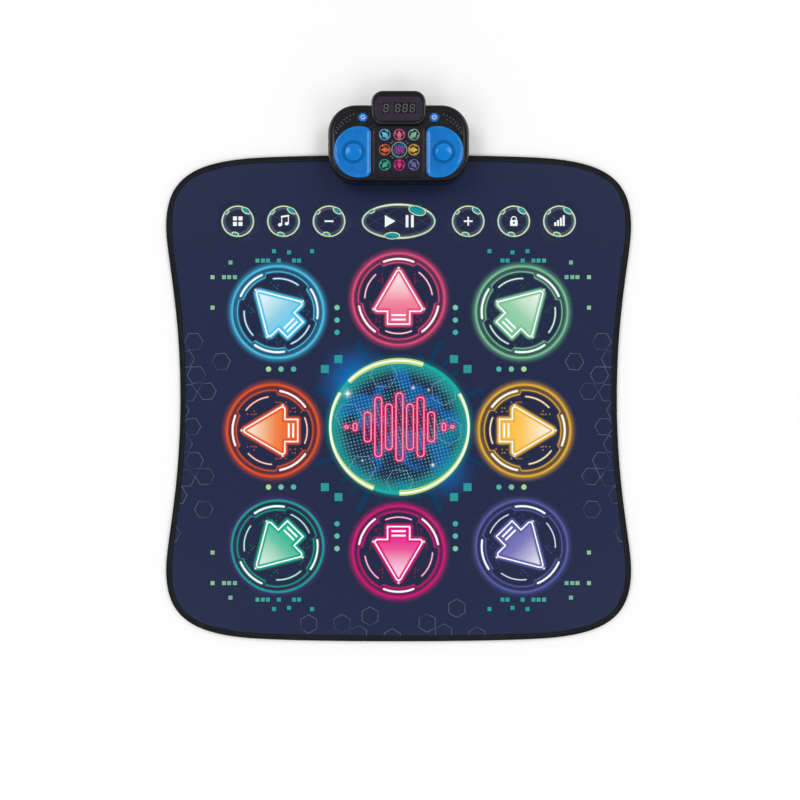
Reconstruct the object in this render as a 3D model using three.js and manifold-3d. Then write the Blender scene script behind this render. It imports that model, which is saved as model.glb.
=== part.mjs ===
// Electronic dance mat with a music box clamped over its rear edge, in millimetres, +Z up.
// The origin is the middle of the mat on the floor, and the music box lies towards +Y.

import * as THREE from "three";
import Module from "manifold-3d";
import { mergeVertices } from "three/addons/utils/BufferGeometryUtils.js";

const wasm = await Module();
wasm.setup();

// Mat outline: widest at the four shoulders, drawn in at the waist
const matLength = 920;
const matWidth = 880;
const waistWidth = 826;
const shoulderReach = 325;
const endReach = 259;
const endDrop = 4.5;
const sideCurveShares = [0.534, 0.832];
const cornerCurveShares = [0.69, 0.735];
const endCurveShare = 0.645;
const outlineSteps = 6;

// Mat layers, from the floor up
const baseThickness = 1;
const filmThickness = 0.25;
const foamThickness = 2;
const coverThickness = 0.75;
const layerGap = 0.125;
const bindingWidth = 10.5;
const bindingWeb = 1.25;
const bindingLip = 0.625;
const edgeGap = 0.25;

// Step pads
const padRadius = 80;
const padCorner = 231.5;
const padRearRow = 163.7;
const padRearMiddle = 186.5;
const padFrontRow = 280;
const padFrontMiddle = 290;
const padSide = 238;
const padSideRow = 61;
const padTravel = 1.5;
const padProud = 0.5;
const padGap = 0.5;
const foamWindowGap = 2;

// Control pads
const controlRow = 334.5;
const controlPitch = 86.25;
const controlFirst = 131.5;
const controlRadius = 27;
const startHalfWidth = 65.6;
const startHalfDepth = 29.3;

// Music box casing
const boxWidth = 260;
const boxOverlap = 58;
const cornerRadius = 51;
const wall = 2.25;
const floorThickness = 2;
const faceThickness = 2.25;
const rimHeight = 1.5;
const rimSide = 9.5;
const rimFront = 4;
const seamRise = 5.75;
const seamLip = 1.25;
const seamLipHeight = 2.25;
const boxLift = 0.25;
const seatGap = 0.25;

// Arrow panel, lamps and light guide
const panelWidth = 90.6;
const panelDepth = 93.6;
const panelFront = 5;
const panelThickness = 1.25;
const panelRadius = 12;
const wellPitch = 27.3;
const wellRadius = 10;
const guideHeight = 12.45;
const guideInset = 1.5;
const boardThickness = 1.6;
const boardOverhang = 2.5;
const lampSize = 5;
const lampHeight = 1.2;
const chipSize = 14;
const chipHeight = 1.25;
const postRadius = 3;
const postInset = 5;

// Display hood
const hoodWidth = 100;
const hoodDepth = 62;
const hoodOverhang = 24.5;
const hoodGap = 2.4;
const hoodRise = 7.5;
const hoodRadius = 21;
const hoodPost = 1.25;
const lensWidth = 86;
const lensDepth = 43.7;
const lensRadius = 13;
const lensThickness = 1;
const lensLedge = 2.5;
const lensFront = 6;
const keyBoardDrop = 8.5;
const keyBoardWing = 10;
const digitDepth = 30;
const digitWidth = 15;
const digitGap = 7;
const digitCount = 3;
const displayRoof = 1.25;

// Buttons and their switches
const buttonRadius = 7.9;
const buttonX = 65.7;
const buttonBehindHood = 14.3;
const buttonProud = 2.5;
const buttonGap = 0.25;
const buttonTravel = 1;
const collarWidth = 2.2;
const collarRise = 1;
const flangeWidth = 1.6;
const flangeThickness = 1.5;
const switchSize = 6;
const plungerRadius = 1.75;
const plungerHeight = 0.65;

// Speakers and grilles
const grilleRadius = 47.4;
const grilleCorner = 12;
const grilleGap = 6;
const grilleMargin = 0.7;
const grilleThickness = 2;
const grilleProud = 0.5;
const grilleRimWidth = 7.5;
const grilleRimRise = 1;
const grilleDomeRadius = 13.9;
const grilleDomeRise = 2;
const domeShoulderShare = 0.66;
const grilleSeat = 1.75;
const grilleHoles = 12;
const grilleHoleRing = 18.3;
const grilleHoleRadius = 2;
const speakerPlaceShare = 0.466;
const speakerRadius = 25;
const speakerFlange = 1.5;
const speakerDepth = 13;
const speakerWall = 1.5;
const coneRadius = 20;
const coneDepth = 5;
const coneSkin = 1;
const coneTravel = 1;
const coneGap = 0.4;
const domeRadius = 11.5;
const domeRise = 2.5;
const magnetRadius = 14;
const magnetHeight = 6;

// Battery bay
const cellLength = 50.5;
const cellRadius = 7.1;
const cellCount = 3;
const cellPitch = 14.75;
const nubRadius = 2.75;
const nubLength = 1.2;
const bayWall = 1.5;
const cellGap = 0.9;
const cellRise = 0.5;
const contactReach = 4.25;
const contactThickness = 0.5;
const contactTip = 2;
const contactFoot = 4;
const doorThickness = 1.5;
const doorLedge = 1.25;
const doorGap = 0.5;
const doorScrewSpace = 10.4;
const doorScrewLength = 5;
const doorBossHeight = 6;

// Screws, clamp and feet
const screwRadius = 1.4;
const screwHeadRadius = 3;
const screwHeadHeight = 2;
const screwGap = 0.25;
const screwRecess = 3;
const screwLength = 24;
const bossRadius = 4.5;
const bossInset = 6;
const frontScrewTurn = -60;
const rearScrewTurn = 45;
const clampWidth = 120;
const clampDepth = 24;
const clampFront = 16;
const clampBossX = 45;
const clampBossRadius = 4;
const footRadius = 8;
const footStem = 2;
const footX = 80;
const footBehind = 18.5;
const restPadRadius = 6;
const restPadX = 62;
const restPadFront = 11;

// Ribbon and sockets
const ribbonWidth = 40;
const ribbonRun = 6;
const ribbonSide = 2;
const ribbonFromEdge = 16;
const connectorDepth = 5;
const connectorHeight = 5;
const ribbonReach = 3;
const socketX = 64;
const usbWidth = 9;
const usbHeight = 3.5;
const usbLength = 8;
const usbSkin = 0.5;
const audioRadius = 3;
const audioBore = 1.8;
const audioLength = 12;
const socketLift = 2.5;
const socketProud = 0.25;

// Drawing: steps per round, and how far a cut runs past the piece
const padSteps = 32;
const controlSteps = 20;
const roundSteps = 24;
const smallSteps = 12;
const overrun = 1;

// Layer levels above the floor
const lowerFilmLevel = baseThickness + layerGap;
const foamLevel = lowerFilmLevel + filmThickness + layerGap;
const upperFilmLevel = foamLevel + foamThickness + layerGap;
const coverLevel = upperFilmLevel + filmThickness + layerGap;
const coverTop = coverLevel + coverThickness;
const matTop = coverTop + layerGap + bindingLip;
const padTop = coverTop + padProud;
const padBottom = foamLevel + padTravel;

// Levels inside the box, above its underside
const bayFloor = doorThickness + seatGap;
const cellAxis = bayFloor + cellRise + cellRadius;
const bayRoof = cellAxis + cellRadius + cellRise;
const boardLevel = bayRoof + bayWall + chipHeight + seatGap;
const boardTop = boardLevel + boardThickness;
const guideTop = boardTop + seatGap + guideHeight;
const faceUnder = guideTop + seatGap;
const faceTop = faceUnder + faceThickness;
const rimTop = faceTop + rimHeight;
const grilleLevel = faceTop + grilleProud - grilleThickness;
const grilleFloor = grilleLevel - seatGap - grilleSeat;
const hoodTop = faceTop + hoodRise;
const keyBoardLevel = faceUnder - keyBoardDrop;
const keyBoardTop = keyBoardLevel + boardThickness;
const hoodFloor = keyBoardLevel - seatGap - hoodPost;
const usbMiddle = floorThickness + socketLift + usbHeight / 2;
const audioMiddle = floorThickness + socketLift + audioRadius;
const partingHeight = audioMiddle + audioRadius + seamRise;

// Places in the box: x across, y from its front edge back
const panelMiddle = panelFront + panelDepth / 2;
const hoodFront = panelFront + panelDepth + hoodGap;
const hoodRear = hoodFront + hoodDepth;
const boxDepth = hoodRear - hoodOverhang;
const buttonY = hoodFront + buttonBehindHood;
const lensMiddle = hoodFront + lensFront + lensDepth / 2;
const grilleInner = panelWidth / 2 + grilleGap;
const grilleOuter = boxWidth / 2 - rimSide - grilleMargin;
const speakerX = grilleInner + (grilleOuter - grilleInner) * speakerPlaceShare;
const bayHalf = cellLength / 2 + contactReach + seatGap;
const bayRear = boxDepth - wall * 3 - doorLedge;
const bayFront = bayRear - cellGap * 2 - cellPitch * (cellCount - 1) - cellRadius * 2 - doorScrewSpace;
const cellFirst = bayRear - cellGap - cellRadius;
const doorScrewY = bayFront + doorScrewSpace / 2;
const clampY = clampFront + clampDepth / 2;
const ribbonY = boxOverlap - ribbonFromEdge;
const footY = boxDepth - footBehind;
const boxFront = matLength / 2 - boxOverlap;
const boxLevel = matTop + boxLift;
const restDrop = boxLevel - coverTop - layerGap;

// A closed solid from a geometry: only places are kept, and shared corners are merged
function solidOf(geometry) {
  geometry.deleteAttribute("normal");
  geometry.deleteAttribute("uv");
  const merged = mergeVertices(geometry);
  const vertProperties = merged.attributes.position.array;
  const triVerts = Uint32Array.from(merged.index.array);
  return new wasm.Manifold(new wasm.Mesh({ numProp: 3, vertProperties, triVerts }));
}

function geometryOf(solid) {
  const { vertProperties, triVerts } = solid.getMesh();
  const geometry = new THREE.BufferGeometry();
  geometry.setAttribute("position", new THREE.BufferAttribute(vertProperties, 3));
  geometry.setIndex(new THREE.BufferAttribute(triVerts, 1));
  geometry.computeVertexNormals();
  return geometry;
}

function joined(...solids) {
  return solids.reduce((sum, solid) => sum.add(solid));
}

function cut(solid, ...tools) {
  return tools.reduce((rest, tool) => rest.subtract(tool), solid);
}

// An outline pulled up from one level to another, with any holes
function slab(points, bottom, top, holes = []) {
  const shape = new THREE.Shape(points);
  shape.holes = holes.map((hole) => new THREE.Path(hole));
  const geometry = new THREE.ExtrudeGeometry(shape, { depth: top - bottom, bevelEnabled: false });
  return solidOf(geometry.translate(0, 0, bottom));
}

function arc(x, y, radius, from, to, steps) {
  const points = [];
  for (let i = 0; i <= steps; i += 1) {
    const angle = from + ((to - from) * i) / steps;
    points.push(new THREE.Vector2(x + radius * Math.cos(angle), y + radius * Math.sin(angle)));
  }
  return points;
}

function circle(x, y, radius, steps = roundSteps) {
  return arc(x, y, radius, 0, 2 * Math.PI, steps).slice(0, -1);
}

function ellipse(x, y, halfWidth, halfDepth, steps) {
  return circle(0, 0, 1, steps).map((p) => new THREE.Vector2(x + p.x * halfWidth, y + p.y * halfDepth));
}

// A rectangle from its left, front, right and rear edges, with round corners
function panel(left, front, right, rear, radius = 0) {
  if (radius <= 0) {
    return [
      new THREE.Vector2(left, front),
      new THREE.Vector2(right, front),
      new THREE.Vector2(right, rear),
      new THREE.Vector2(left, rear),
    ];
  }
  const steps = roundSteps / 4;
  const quarter = Math.PI / 2;
  return [
    ...arc(right - radius, rear - radius, radius, 0, quarter, steps),
    ...arc(left + radius, rear - radius, radius, quarter, 2 * quarter, steps),
    ...arc(left + radius, front + radius, radius, 2 * quarter, 3 * quarter, steps),
    ...arc(right - radius, front + radius, radius, 3 * quarter, 4 * quarter, steps),
  ];
}

function drum(x, y, radius, bottom, top, steps = smallSteps) {
  return slab(circle(x, y, radius, steps), bottom, top);
}

function block(left, front, bottom, right, rear, top) {
  return slab(panel(left, front, right, rear), bottom, top);
}

// A profile of [radius, height] pairs turned about the Z axis
function turned(profile, steps = smallSteps) {
  const points = profile.map(([radius, height]) => new THREE.Vector2(radius, height));
  return solidOf(new THREE.LatheGeometry(points, steps).rotateX(Math.PI / 2));
}

function bothSides(make) {
  return [-1, 1].map(make);
}

// Outlines of the mat
function quarterOutline() {
  const x = matWidth / 2;
  const y = matLength / 2;
  const waist = waistWidth / 2;
  const fall = y - endDrop;
  const path = new THREE.Path();
  const [sideLow, sideHigh] = sideCurveShares.map((share) => share * shoulderReach);
  const [cornerUp, cornerOut] = cornerCurveShares;
  path.moveTo(waist, 0);
  path.bezierCurveTo(waist, sideLow, x, sideHigh, x, shoulderReach);
  const turnX = endReach + (x - endReach) * cornerOut;
  const endTurn = endReach * endCurveShare;
  const slope = endDrop / (endReach - endTurn);
  const turnY = fall - (turnX - endReach) * slope;
  path.bezierCurveTo(x, shoulderReach + (fall - shoulderReach) * cornerUp, turnX, turnY, endReach, fall);
  path.quadraticCurveTo(endTurn, y, 0, y);
  return path.getPoints(outlineSteps);
}

function matOutline(inset) {
  const quarter = quarterOutline();
  const halfway = quarter.slice(0, -1).map((p) => p.clone());
  const back = quarter.slice(1).reverse().map((p) => new THREE.Vector2(-p.x, p.y));
  const upper = [...halfway, ...back];
  const round = [...upper, ...upper.map((p) => new THREE.Vector2(-p.x, -p.y))];
  return round.map((p, i) => {
    const before = round[(i + round.length - 1) % round.length];
    const after = round[(i + 1) % round.length];
    const along = after.clone().sub(before).normalize();
    return new THREE.Vector2(p.x - along.y * inset, p.y + along.x * inset);
  });
}

const stepPads = [
  { name: "step_pad_up_left", x: -padCorner, y: padRearRow },
  { name: "step_pad_up", x: 0, y: padRearMiddle },
  { name: "step_pad_up_right", x: padCorner, y: padRearRow },
  { name: "step_pad_left", x: -padSide, y: -padSideRow },
  { name: "step_pad_right", x: padSide, y: -padSideRow },
  { name: "step_pad_down_left", x: -padCorner, y: -padFrontRow },
  { name: "step_pad_down", x: 0, y: -padFrontMiddle },
  { name: "step_pad_down_right", x: padCorner, y: -padFrontRow },
];
const controlPads = [
  { name: "control_pad_memory", x: -controlFirst - controlPitch * 2 },
  { name: "control_pad_mode", x: -controlFirst - controlPitch },
  { name: "control_pad_quieter", x: -controlFirst },
  { name: "control_pad_louder", x: controlFirst },
  { name: "control_pad_lock", x: controlFirst + controlPitch },
  { name: "control_pad_level", x: controlFirst + controlPitch * 2 },
];

// The openings that let every pad through a layer
function padWindows(gap, steps, fewer) {
  return [
    ...stepPads.map((pad) => circle(pad.x, pad.y, padRadius + gap, steps)),
    ...controlPads.map((pad) => circle(pad.x, controlRow, controlRadius + gap, fewer)),
    ellipse(0, controlRow, startHalfWidth + gap, startHalfDepth + gap, controlSteps),
  ];
}

function clampWindows() {
  const y = boxFront + clampY;
  return bothSides((side) => circle(side * clampBossX, y, clampBossRadius + edgeGap, smallSteps));
}

function ribbonWindow() {
  const half = ribbonWidth / 2 + ribbonSide;
  const y = boxFront + ribbonY;
  return panel(-half, y - ribbonRun - ribbonSide, half, y + ribbonSide);
}

function mat() {
  const inner = matOutline(bindingWeb + edgeGap);
  const lipInner = matOutline(bindingWidth);
  const baseWindow = panel(
    -clampWidth / 2 - edgeGap,
    boxFront + clampFront - edgeGap,
    clampWidth / 2 + edgeGap,
    boxFront + clampFront + clampDepth + edgeGap,
  );
  const films = clampWindows();
  const covers = [...padWindows(padGap, padSteps, controlSteps), ...clampWindows(), ribbonWindow()];
  const uppers = [...padWindows(foamWindowGap, controlSteps, smallSteps), ...clampWindows(), ribbonWindow()];
  const binding = joined(
    slab(matOutline(0), 0, baseThickness, [lipInner]),
    slab(matOutline(0), baseThickness, coverTop + layerGap, [matOutline(bindingWeb)]),
    slab(matOutline(0), coverTop + layerGap, matTop, [lipInner]),
  );
  const base = slab(matOutline(bindingWidth + edgeGap), 0, baseThickness, [baseWindow]);
  add("anti_slip_base", base, rubberBlack);
  add("lower_circuit", slab(inner, lowerFilmLevel, lowerFilmLevel + filmThickness, films), filmClear);
  add("spacer_foam", slab(inner, foamLevel, foamLevel + foamThickness, uppers), foamGrey);
  add("upper_circuit", slab(inner, upperFilmLevel, upperFilmLevel + filmThickness, uppers), filmClear);
  add("top_cover", slab(inner, coverLevel, coverTop, covers), coverNavy);
  add("edge_binding", binding, bindingBlack);
}

function pads() {
  const disc = geometryOf(slab(circle(0, 0, padRadius, padSteps), padBottom, padTop));
  const small = geometryOf(slab(circle(0, 0, controlRadius, controlSteps), padBottom, padTop));
  const oval = ellipse(0, 0, startHalfWidth, startHalfDepth, controlSteps);
  const wide = geometryOf(slab(oval, padBottom, padTop));
  for (const pad of stepPads) {
    place(pad.name, disc, coverNavy, pad.x, pad.y, 0);
  }
  for (const pad of controlPads) {
    place(pad.name, small, coverNavy, pad.x, controlRow, 0);
  }
  place("control_pad_start", wide, coverNavy, 0, controlRow, 0);
}

// The clamp plate lies flush in the base, and its two bosses reach up to the box
function clamp() {
  const half = clampWidth / 2;
  const reach = boxLevel - seatGap;
  const plate = joined(
    block(-half, -clampDepth / 2, 0, half, clampDepth / 2, baseThickness),
    ...bothSides((side) => drum(side * clampBossX, 0, clampBossRadius, 0, reach)),
  );
  const bore = screwRadius + screwGap;
  const bores = bothSides((side) => drum(side * clampBossX, 0, bore, baseThickness / 2, reach + overrun));
  const solid = cut(plate, ...bores);
  place("clamp_plate", geometryOf(solid), steel, 0, boxFront + clampY, 0);
}

// The ribbon lies in the foam's window, turns up and ends in its connector
function ribbon() {
  const half = ribbonWidth / 2;
  const top = boxLevel + boardLevel - seatGap - connectorHeight + ribbonReach;
  const flat = block(-half, -ribbonRun, foamLevel, half, 0, foamLevel + filmThickness);
  const rise = block(-half, -filmThickness, foamLevel, half, 0, top);
  place("ribbon_tail", geometryOf(joined(flat, rise)), filmClear, 0, boxFront + ribbonY, 0);
}

// Outlines of the box
function caseOutline(inset) {
  const half = boxWidth / 2 - inset;
  return panel(-half, inset, half, boxDepth - inset, cornerRadius - inset);
}

function hoodOutline(inset) {
  const half = hoodWidth / 2 - inset;
  return panel(-half, hoodFront + inset, half, hoodRear - inset, hoodRadius - inset);
}

function lensOutline(grow) {
  const half = lensWidth / 2 + grow;
  const reach = lensDepth / 2 + grow;
  return panel(-half, lensMiddle - reach, half, lensMiddle + reach, lensRadius + grow);
}

function rimOutline() {
  const half = boxWidth / 2 - rimSide;
  return panel(-half, rimFront, half, boxDepth - rimSide, cornerRadius - rimSide);
}

// A grille's outline: a round shape whose inner side is cut straight, with two fillets
function grilleOutline(side, grow) {
  const radius = grilleRadius + grow;
  const fillet = grilleCorner + grow;
  const centre = grilleOuter - grilleRadius;
  const filletX = grilleInner + grilleCorner;
  const filletY = Math.sqrt((grilleRadius - grilleCorner) ** 2 - (filletX - centre) ** 2);
  const lean = Math.atan2(filletY, filletX - centre);
  const steps = smallSteps / 4;
  const points = [
    ...arc(centre, 0, radius, -lean, lean, roundSteps - steps),
    ...arc(filletX, filletY, fillet, lean, Math.PI, steps).slice(1),
    ...arc(filletX, -filletY, fillet, Math.PI, 2 * Math.PI - lean, steps).slice(0, -1),
  ];
  const placed = points.map((p) => new THREE.Vector2(side * p.x, p.y + panelMiddle));
  return side > 0 ? placed : placed.reverse();
}

function buttonHole(side) {
  return circle(side * buttonX, buttonY, buttonRadius + buttonGap);
}

function screwPlaces() {
  const reach = cornerRadius - wall - bossInset - bossRadius;
  const corner = boxWidth / 2 - cornerRadius;
  const turns = [
    [frontScrewTurn, cornerRadius],
    [rearScrewTurn, boxDepth - cornerRadius],
  ];
  return turns.flatMap(([turn, y]) => {
    const angle = THREE.MathUtils.degToRad(turn);
    return bothSides((side) => [side * (corner + reach * Math.cos(angle)), y + reach * Math.sin(angle)]);
  });
}

function boardPosts() {
  const x = panelWidth / 2 - postInset;
  const front = panelFront + postInset;
  return [front, panelFront + panelDepth - postInset].flatMap((y) => bothSides((side) => [side * x, y]));
}

function wells() {
  const places = [];
  for (let row = -1; row <= 1; row += 1) {
    for (let column = -1; column <= 1; column += 1) {
      places.push([column * wellPitch, panelMiddle + row * wellPitch]);
    }
  }
  return places;
}

// Lower casing: a tray with the battery bay, posts, screw bosses and the seam lip
function caseBottom() {
  const bayOuter = [bayHalf + bayWall, bayFront - bayWall, bayRear + bayWall];
  const lipOuter = caseOutline(wall + seatGap);
  const lipInner = caseOutline(wall + seatGap + seamLip);
  const tray = cut(
    slab(caseOutline(0), 0, partingHeight),
    slab(caseOutline(wall), floorThickness, partingHeight + overrun),
  );
  const lipLevel = partingHeight - seamLipHeight;
  const lip = slab(lipOuter, lipLevel, partingHeight + seamLipHeight, [lipInner]);
  const lipFoot = slab(caseOutline(wall / 2), lipLevel - seamLipHeight, lipLevel, [lipInner]);
  const bay = block(-bayOuter[0], bayOuter[1], 0, bayOuter[0], bayOuter[2], bayRoof + bayWall);
  const bossTop = bayFloor + doorBossHeight;
  const doorBoss = drum(0, doorScrewY, bossRadius, bayFloor, bossTop);
  const bossWeb = block(-bossRadius, bayFront - bayWall, bayFloor, bossRadius, doorScrewY, bossTop);
  const posts = boardPosts().map(([x, y]) => drum(x, y, postRadius, 0, boardLevel - seatGap));
  const keyPosts = bothSides((side) =>
    drum(side * (bayHalf - postInset), buttonY, postRadius, bayRoof, keyBoardLevel - seatGap),
  );
  const bosses = screwPlaces().map(([x, y]) => drum(x, y, bossRadius, 0, partingHeight - seatGap));
  const rests = bothSides((side) =>
    drum(side * restPadX, restPadFront, restPadRadius, -restDrop, floorThickness),
  );
  const shelves = bothSides((side) =>
    block(
      side * socketX - usbWidth / 2,
      boxDepth - wall - usbLength,
      0,
      side * socketX + usbWidth / 2,
      boxDepth - wall / 2,
      floorThickness + socketLift - seatGap,
    ),
  );
  const pocket = block(-bayHalf, bayFront, -overrun, bayHalf, bayRear, bayRoof);
  const mouth = block(
    -bayHalf - doorLedge,
    bayFront - doorLedge,
    -overrun,
    bayHalf + doorLedge,
    bayRear + doorLedge,
    bayFloor,
  );
  const whole = joined(tray, lip, lipFoot, bay, ...posts, ...keyPosts, ...bosses, ...rests, ...shelves);
  const hollow = cut(whole, pocket);
  const bossed = cut(joined(hollow, doorBoss, bossWeb), mouth);
  const ribbonHalf = ribbonWidth / 2 + ribbonSide;
  const slotFront = ribbonY - ribbonSide;
  const slotRear = ribbonY + ribbonSide;
  const through = floorThickness + overrun;
  const bore = screwRadius + screwGap;
  return cut(
    bossed,
    drum(0, doorScrewY, bore + screwGap, -overrun, bossTop + overrun),
    block(-ribbonHalf, slotFront, -overrun, ribbonHalf, slotRear, through),
    ...screwPlaces().map(([x, y]) => drum(x, y, screwHeadRadius + screwGap, -overrun, screwRecess)),
    ...screwPlaces().map(([x, y]) => drum(x, y, bore, 0, partingHeight + overrun)),
    ...bothSides((side) => drum(side * clampBossX, clampY, bore, -overrun, through)),
    ...bothSides((side) => drum(side * footX, footY, footStem + screwGap, -overrun, through)),
    usbCutter(),
    audioCutter(),
  );
}

function usbCutter() {
  const half = usbWidth / 2 + seatGap;
  return block(
    -socketX - half,
    boxDepth - wall - overrun,
    usbMiddle - usbHeight / 2 - seatGap,
    -socketX + half,
    boxDepth + overrun,
    usbMiddle + usbHeight / 2 + seatGap,
  );
}

// A round bar along Y, from one place to another
function barAlongY(x, from, to, z, radius, steps = smallSteps) {
  const geometry = new THREE.CylinderGeometry(radius, radius, to - from, steps);
  return solidOf(geometry.translate(x, (from + to) / 2, z));
}

function audioCutter() {
  const inside = boxDepth - wall - overrun;
  return barAlongY(socketX, inside, boxDepth + overrun, audioMiddle, audioRadius + seatGap);
}

// Upper casing: the face with its rim and hood, open below
function caseTop() {
  const outer = joined(
    slab(caseOutline(0), partingHeight, faceTop),
    slab(caseOutline(0), faceTop - overrun, rimTop, [rimOutline()]),
    slab(hoodOutline(0), hoodFloor - wall, hoodTop),
  );
  const inner = joined(
    slab(caseOutline(wall), partingHeight - overrun, faceUnder),
    slab(hoodOutline(wall), hoodFloor, hoodTop - faceThickness),
  );
  const shell = cut(outer, inner);
  const seats = bothSides((side) => slab(grilleOutline(side, wall), grilleFloor, faceTop));
  const seatTop = grilleFloor + grilleSeat;
  const bosses = screwPlaces().map(([x, y]) => drum(x, y, bossRadius, partingHeight, seatTop));
  const postX = hoodWidth / 2 - hoodRadius + postInset;
  const postY = hoodRear - hoodRadius + postInset;
  const hoodPosts = bothSides((side) =>
    drum(side * postX, postY, postRadius, hoodFloor, keyBoardLevel - seatGap),
  );
  const collars = bothSides((side) =>
    drum(side * buttonX, buttonY, buttonRadius + collarWidth, faceUnder, faceTop + collarRise, roundSteps),
  );
  const solid = joined(shell, ...seats, ...bosses, ...hoodPosts, ...collars);
  const mouth = coneRadius + coneGap;
  const bore = screwRadius + screwGap;
  const boreTop = screwRecess + screwLength + overrun;
  return cut(
    solid,
    ...bothSides((side) => slab(grilleOutline(side, edgeGap), seatTop, rimTop + overrun)),
    ...bothSides((side) =>
      drum(side * speakerX, panelMiddle, mouth, grilleFloor - overrun, rimTop, roundSteps),
    ),
    ...bothSides((side) => slab(buttonHole(side), faceUnder - overrun, rimTop + overrun)),
    ...wells().map(([x, y]) => drum(x, y, wellRadius, faceUnder - overrun, faceTop + overrun)),
    ...screwPlaces().map(([x, y]) => drum(x, y, bore, partingHeight - overrun, boreTop)),
    slab(lensOutline(edgeGap), hoodTop - lensThickness - seatGap, hoodTop + overrun),
    slab(lensOutline(-lensLedge), hoodTop - faceThickness - overrun, hoodTop + overrun),
  );
}

function faceParts() {
  const half = panelWidth / 2;
  const plate = slab(
    panel(-half, panelFront, half, panelFront + panelDepth, panelRadius),
    faceTop + layerGap,
    faceTop + layerGap + panelThickness,
  );
  const lens = slab(lensOutline(0), hoodTop - lensThickness, hoodTop);
  addTo(box, "arrow_panel", plate, panelGrey);
  addTo(box, "screen_lens", lens, lensSmoke);
  for (const [side, name] of [[-1, "grille_left"], [1, "grille_right"]]) {
    const plain = slab(grilleOutline(side, 0), grilleLevel, grilleLevel + grilleThickness);
    const grille = cut(plain, ...grilleHoleTools(side));
    addTo(box, name, joined(grille, grilleRim(side), grilleDome(side)), caseBlue);
  }
}

// A raised band round the grille's edge, and a low dome in its middle
function grilleRim(side) {
  const level = grilleLevel + grilleThickness;
  const inner = grilleOutline(side, -grilleRimWidth);
  return slab(grilleOutline(side, 0), level - grilleThickness / 2, level + grilleRimRise, [inner]);
}

function grilleDome(side) {
  const level = grilleLevel + grilleThickness;
  const shoulder = grilleDomeRadius * domeShoulderShare;
  const dome = turned(
    [
      [0, level - grilleThickness / 2],
      [grilleDomeRadius, level - grilleThickness / 2],
      [grilleDomeRadius, level],
      [shoulder, level + grilleDomeRise * domeShoulderShare],
      [0, level + grilleDomeRise],
    ],
    roundSteps,
  );
  return dome.translate(side * speakerX, panelMiddle, 0);
}

function grilleHoleTools(side) {
  const tools = [];
  for (let i = 0; i < grilleHoles; i += 1) {
    const angle = (2 * Math.PI * i) / grilleHoles;
    const x = side * speakerX + grilleHoleRing * Math.cos(angle);
    const y = panelMiddle + grilleHoleRing * Math.sin(angle);
    tools.push(drum(x, y, grilleHoleRadius, grilleLevel - overrun, faceTop + overrun, smallSteps / 2));
  }
  return tools;
}

// A speaker: flange, basket and magnet in one, open above, and the cone that moves in it
function speakers() {
  const top = grilleFloor - seatGap;
  const neck = top - speakerFlange;
  const low = top - speakerDepth;
  const wellRim = coneRadius + coneGap;
  const wellFoot = neck - 2 * coneTravel - coneSkin;
  const basket = turned([
    [0, low - magnetHeight],
    [magnetRadius, low - magnetHeight],
    [magnetRadius, low],
    [wellRim + speakerWall, wellFoot],
    [wellRim + speakerWall, neck],
    [speakerRadius, neck],
    [speakerRadius, top],
    [wellRim, top],
    [wellRim, wellFoot],
    [magnetRadius - speakerWall, low + speakerWall],
    [0, low + speakerWall],
  ]);
  const rise = domeRise - coneDepth;
  const cone = turned([
    [0, rise - coneSkin],
    [domeRadius, -coneDepth - coneSkin],
    [coneRadius, -coneSkin],
    [coneRadius, 0],
    [domeRadius, -coneDepth],
    [domeRadius / 2, rise - domeRise / 4],
    [0, rise],
  ]);
  const basketShape = geometryOf(basket);
  const coneShape = geometryOf(cone);
  for (const [side, name] of [[-1, "left"], [1, "right"]]) {
    const x = side * speakerX;
    placeIn(box, `speaker_${name}`, basketShape, steel, x, panelMiddle, 0);
    placeIn(box, `speaker_cone_${name}`, coneShape, rubberBlack, x, panelMiddle, top - coneTravel);
  }
}

// Buttons with a flange under the face, and the low switches beneath them
function buttons() {
  const cap = geometryOf(
    joined(
      drum(0, 0, buttonRadius, -flangeThickness, faceThickness + buttonProud, roundSteps),
      drum(0, 0, buttonRadius + flangeWidth, -flangeThickness, 0, roundSteps),
    ),
  );
  const top = keyBoardDrop - boardThickness - seatGap * 3 - flangeThickness - buttonTravel;
  const half = switchSize / 2;
  const body = geometryOf(
    joined(block(-half, -half, 0, half, half, top - plungerHeight), drum(0, 0, plungerRadius, 0, top)),
  );
  for (const [side, name] of [[-1, "mode"], [1, "power"]]) {
    placeIn(box, `${name}_button`, cap, caseBlue, side * buttonX, buttonY, faceUnder - seatGap);
    placeIn(box, `${name}_switch`, body, steel, side * buttonX, buttonY, keyBoardTop + seatGap);
  }
}

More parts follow.
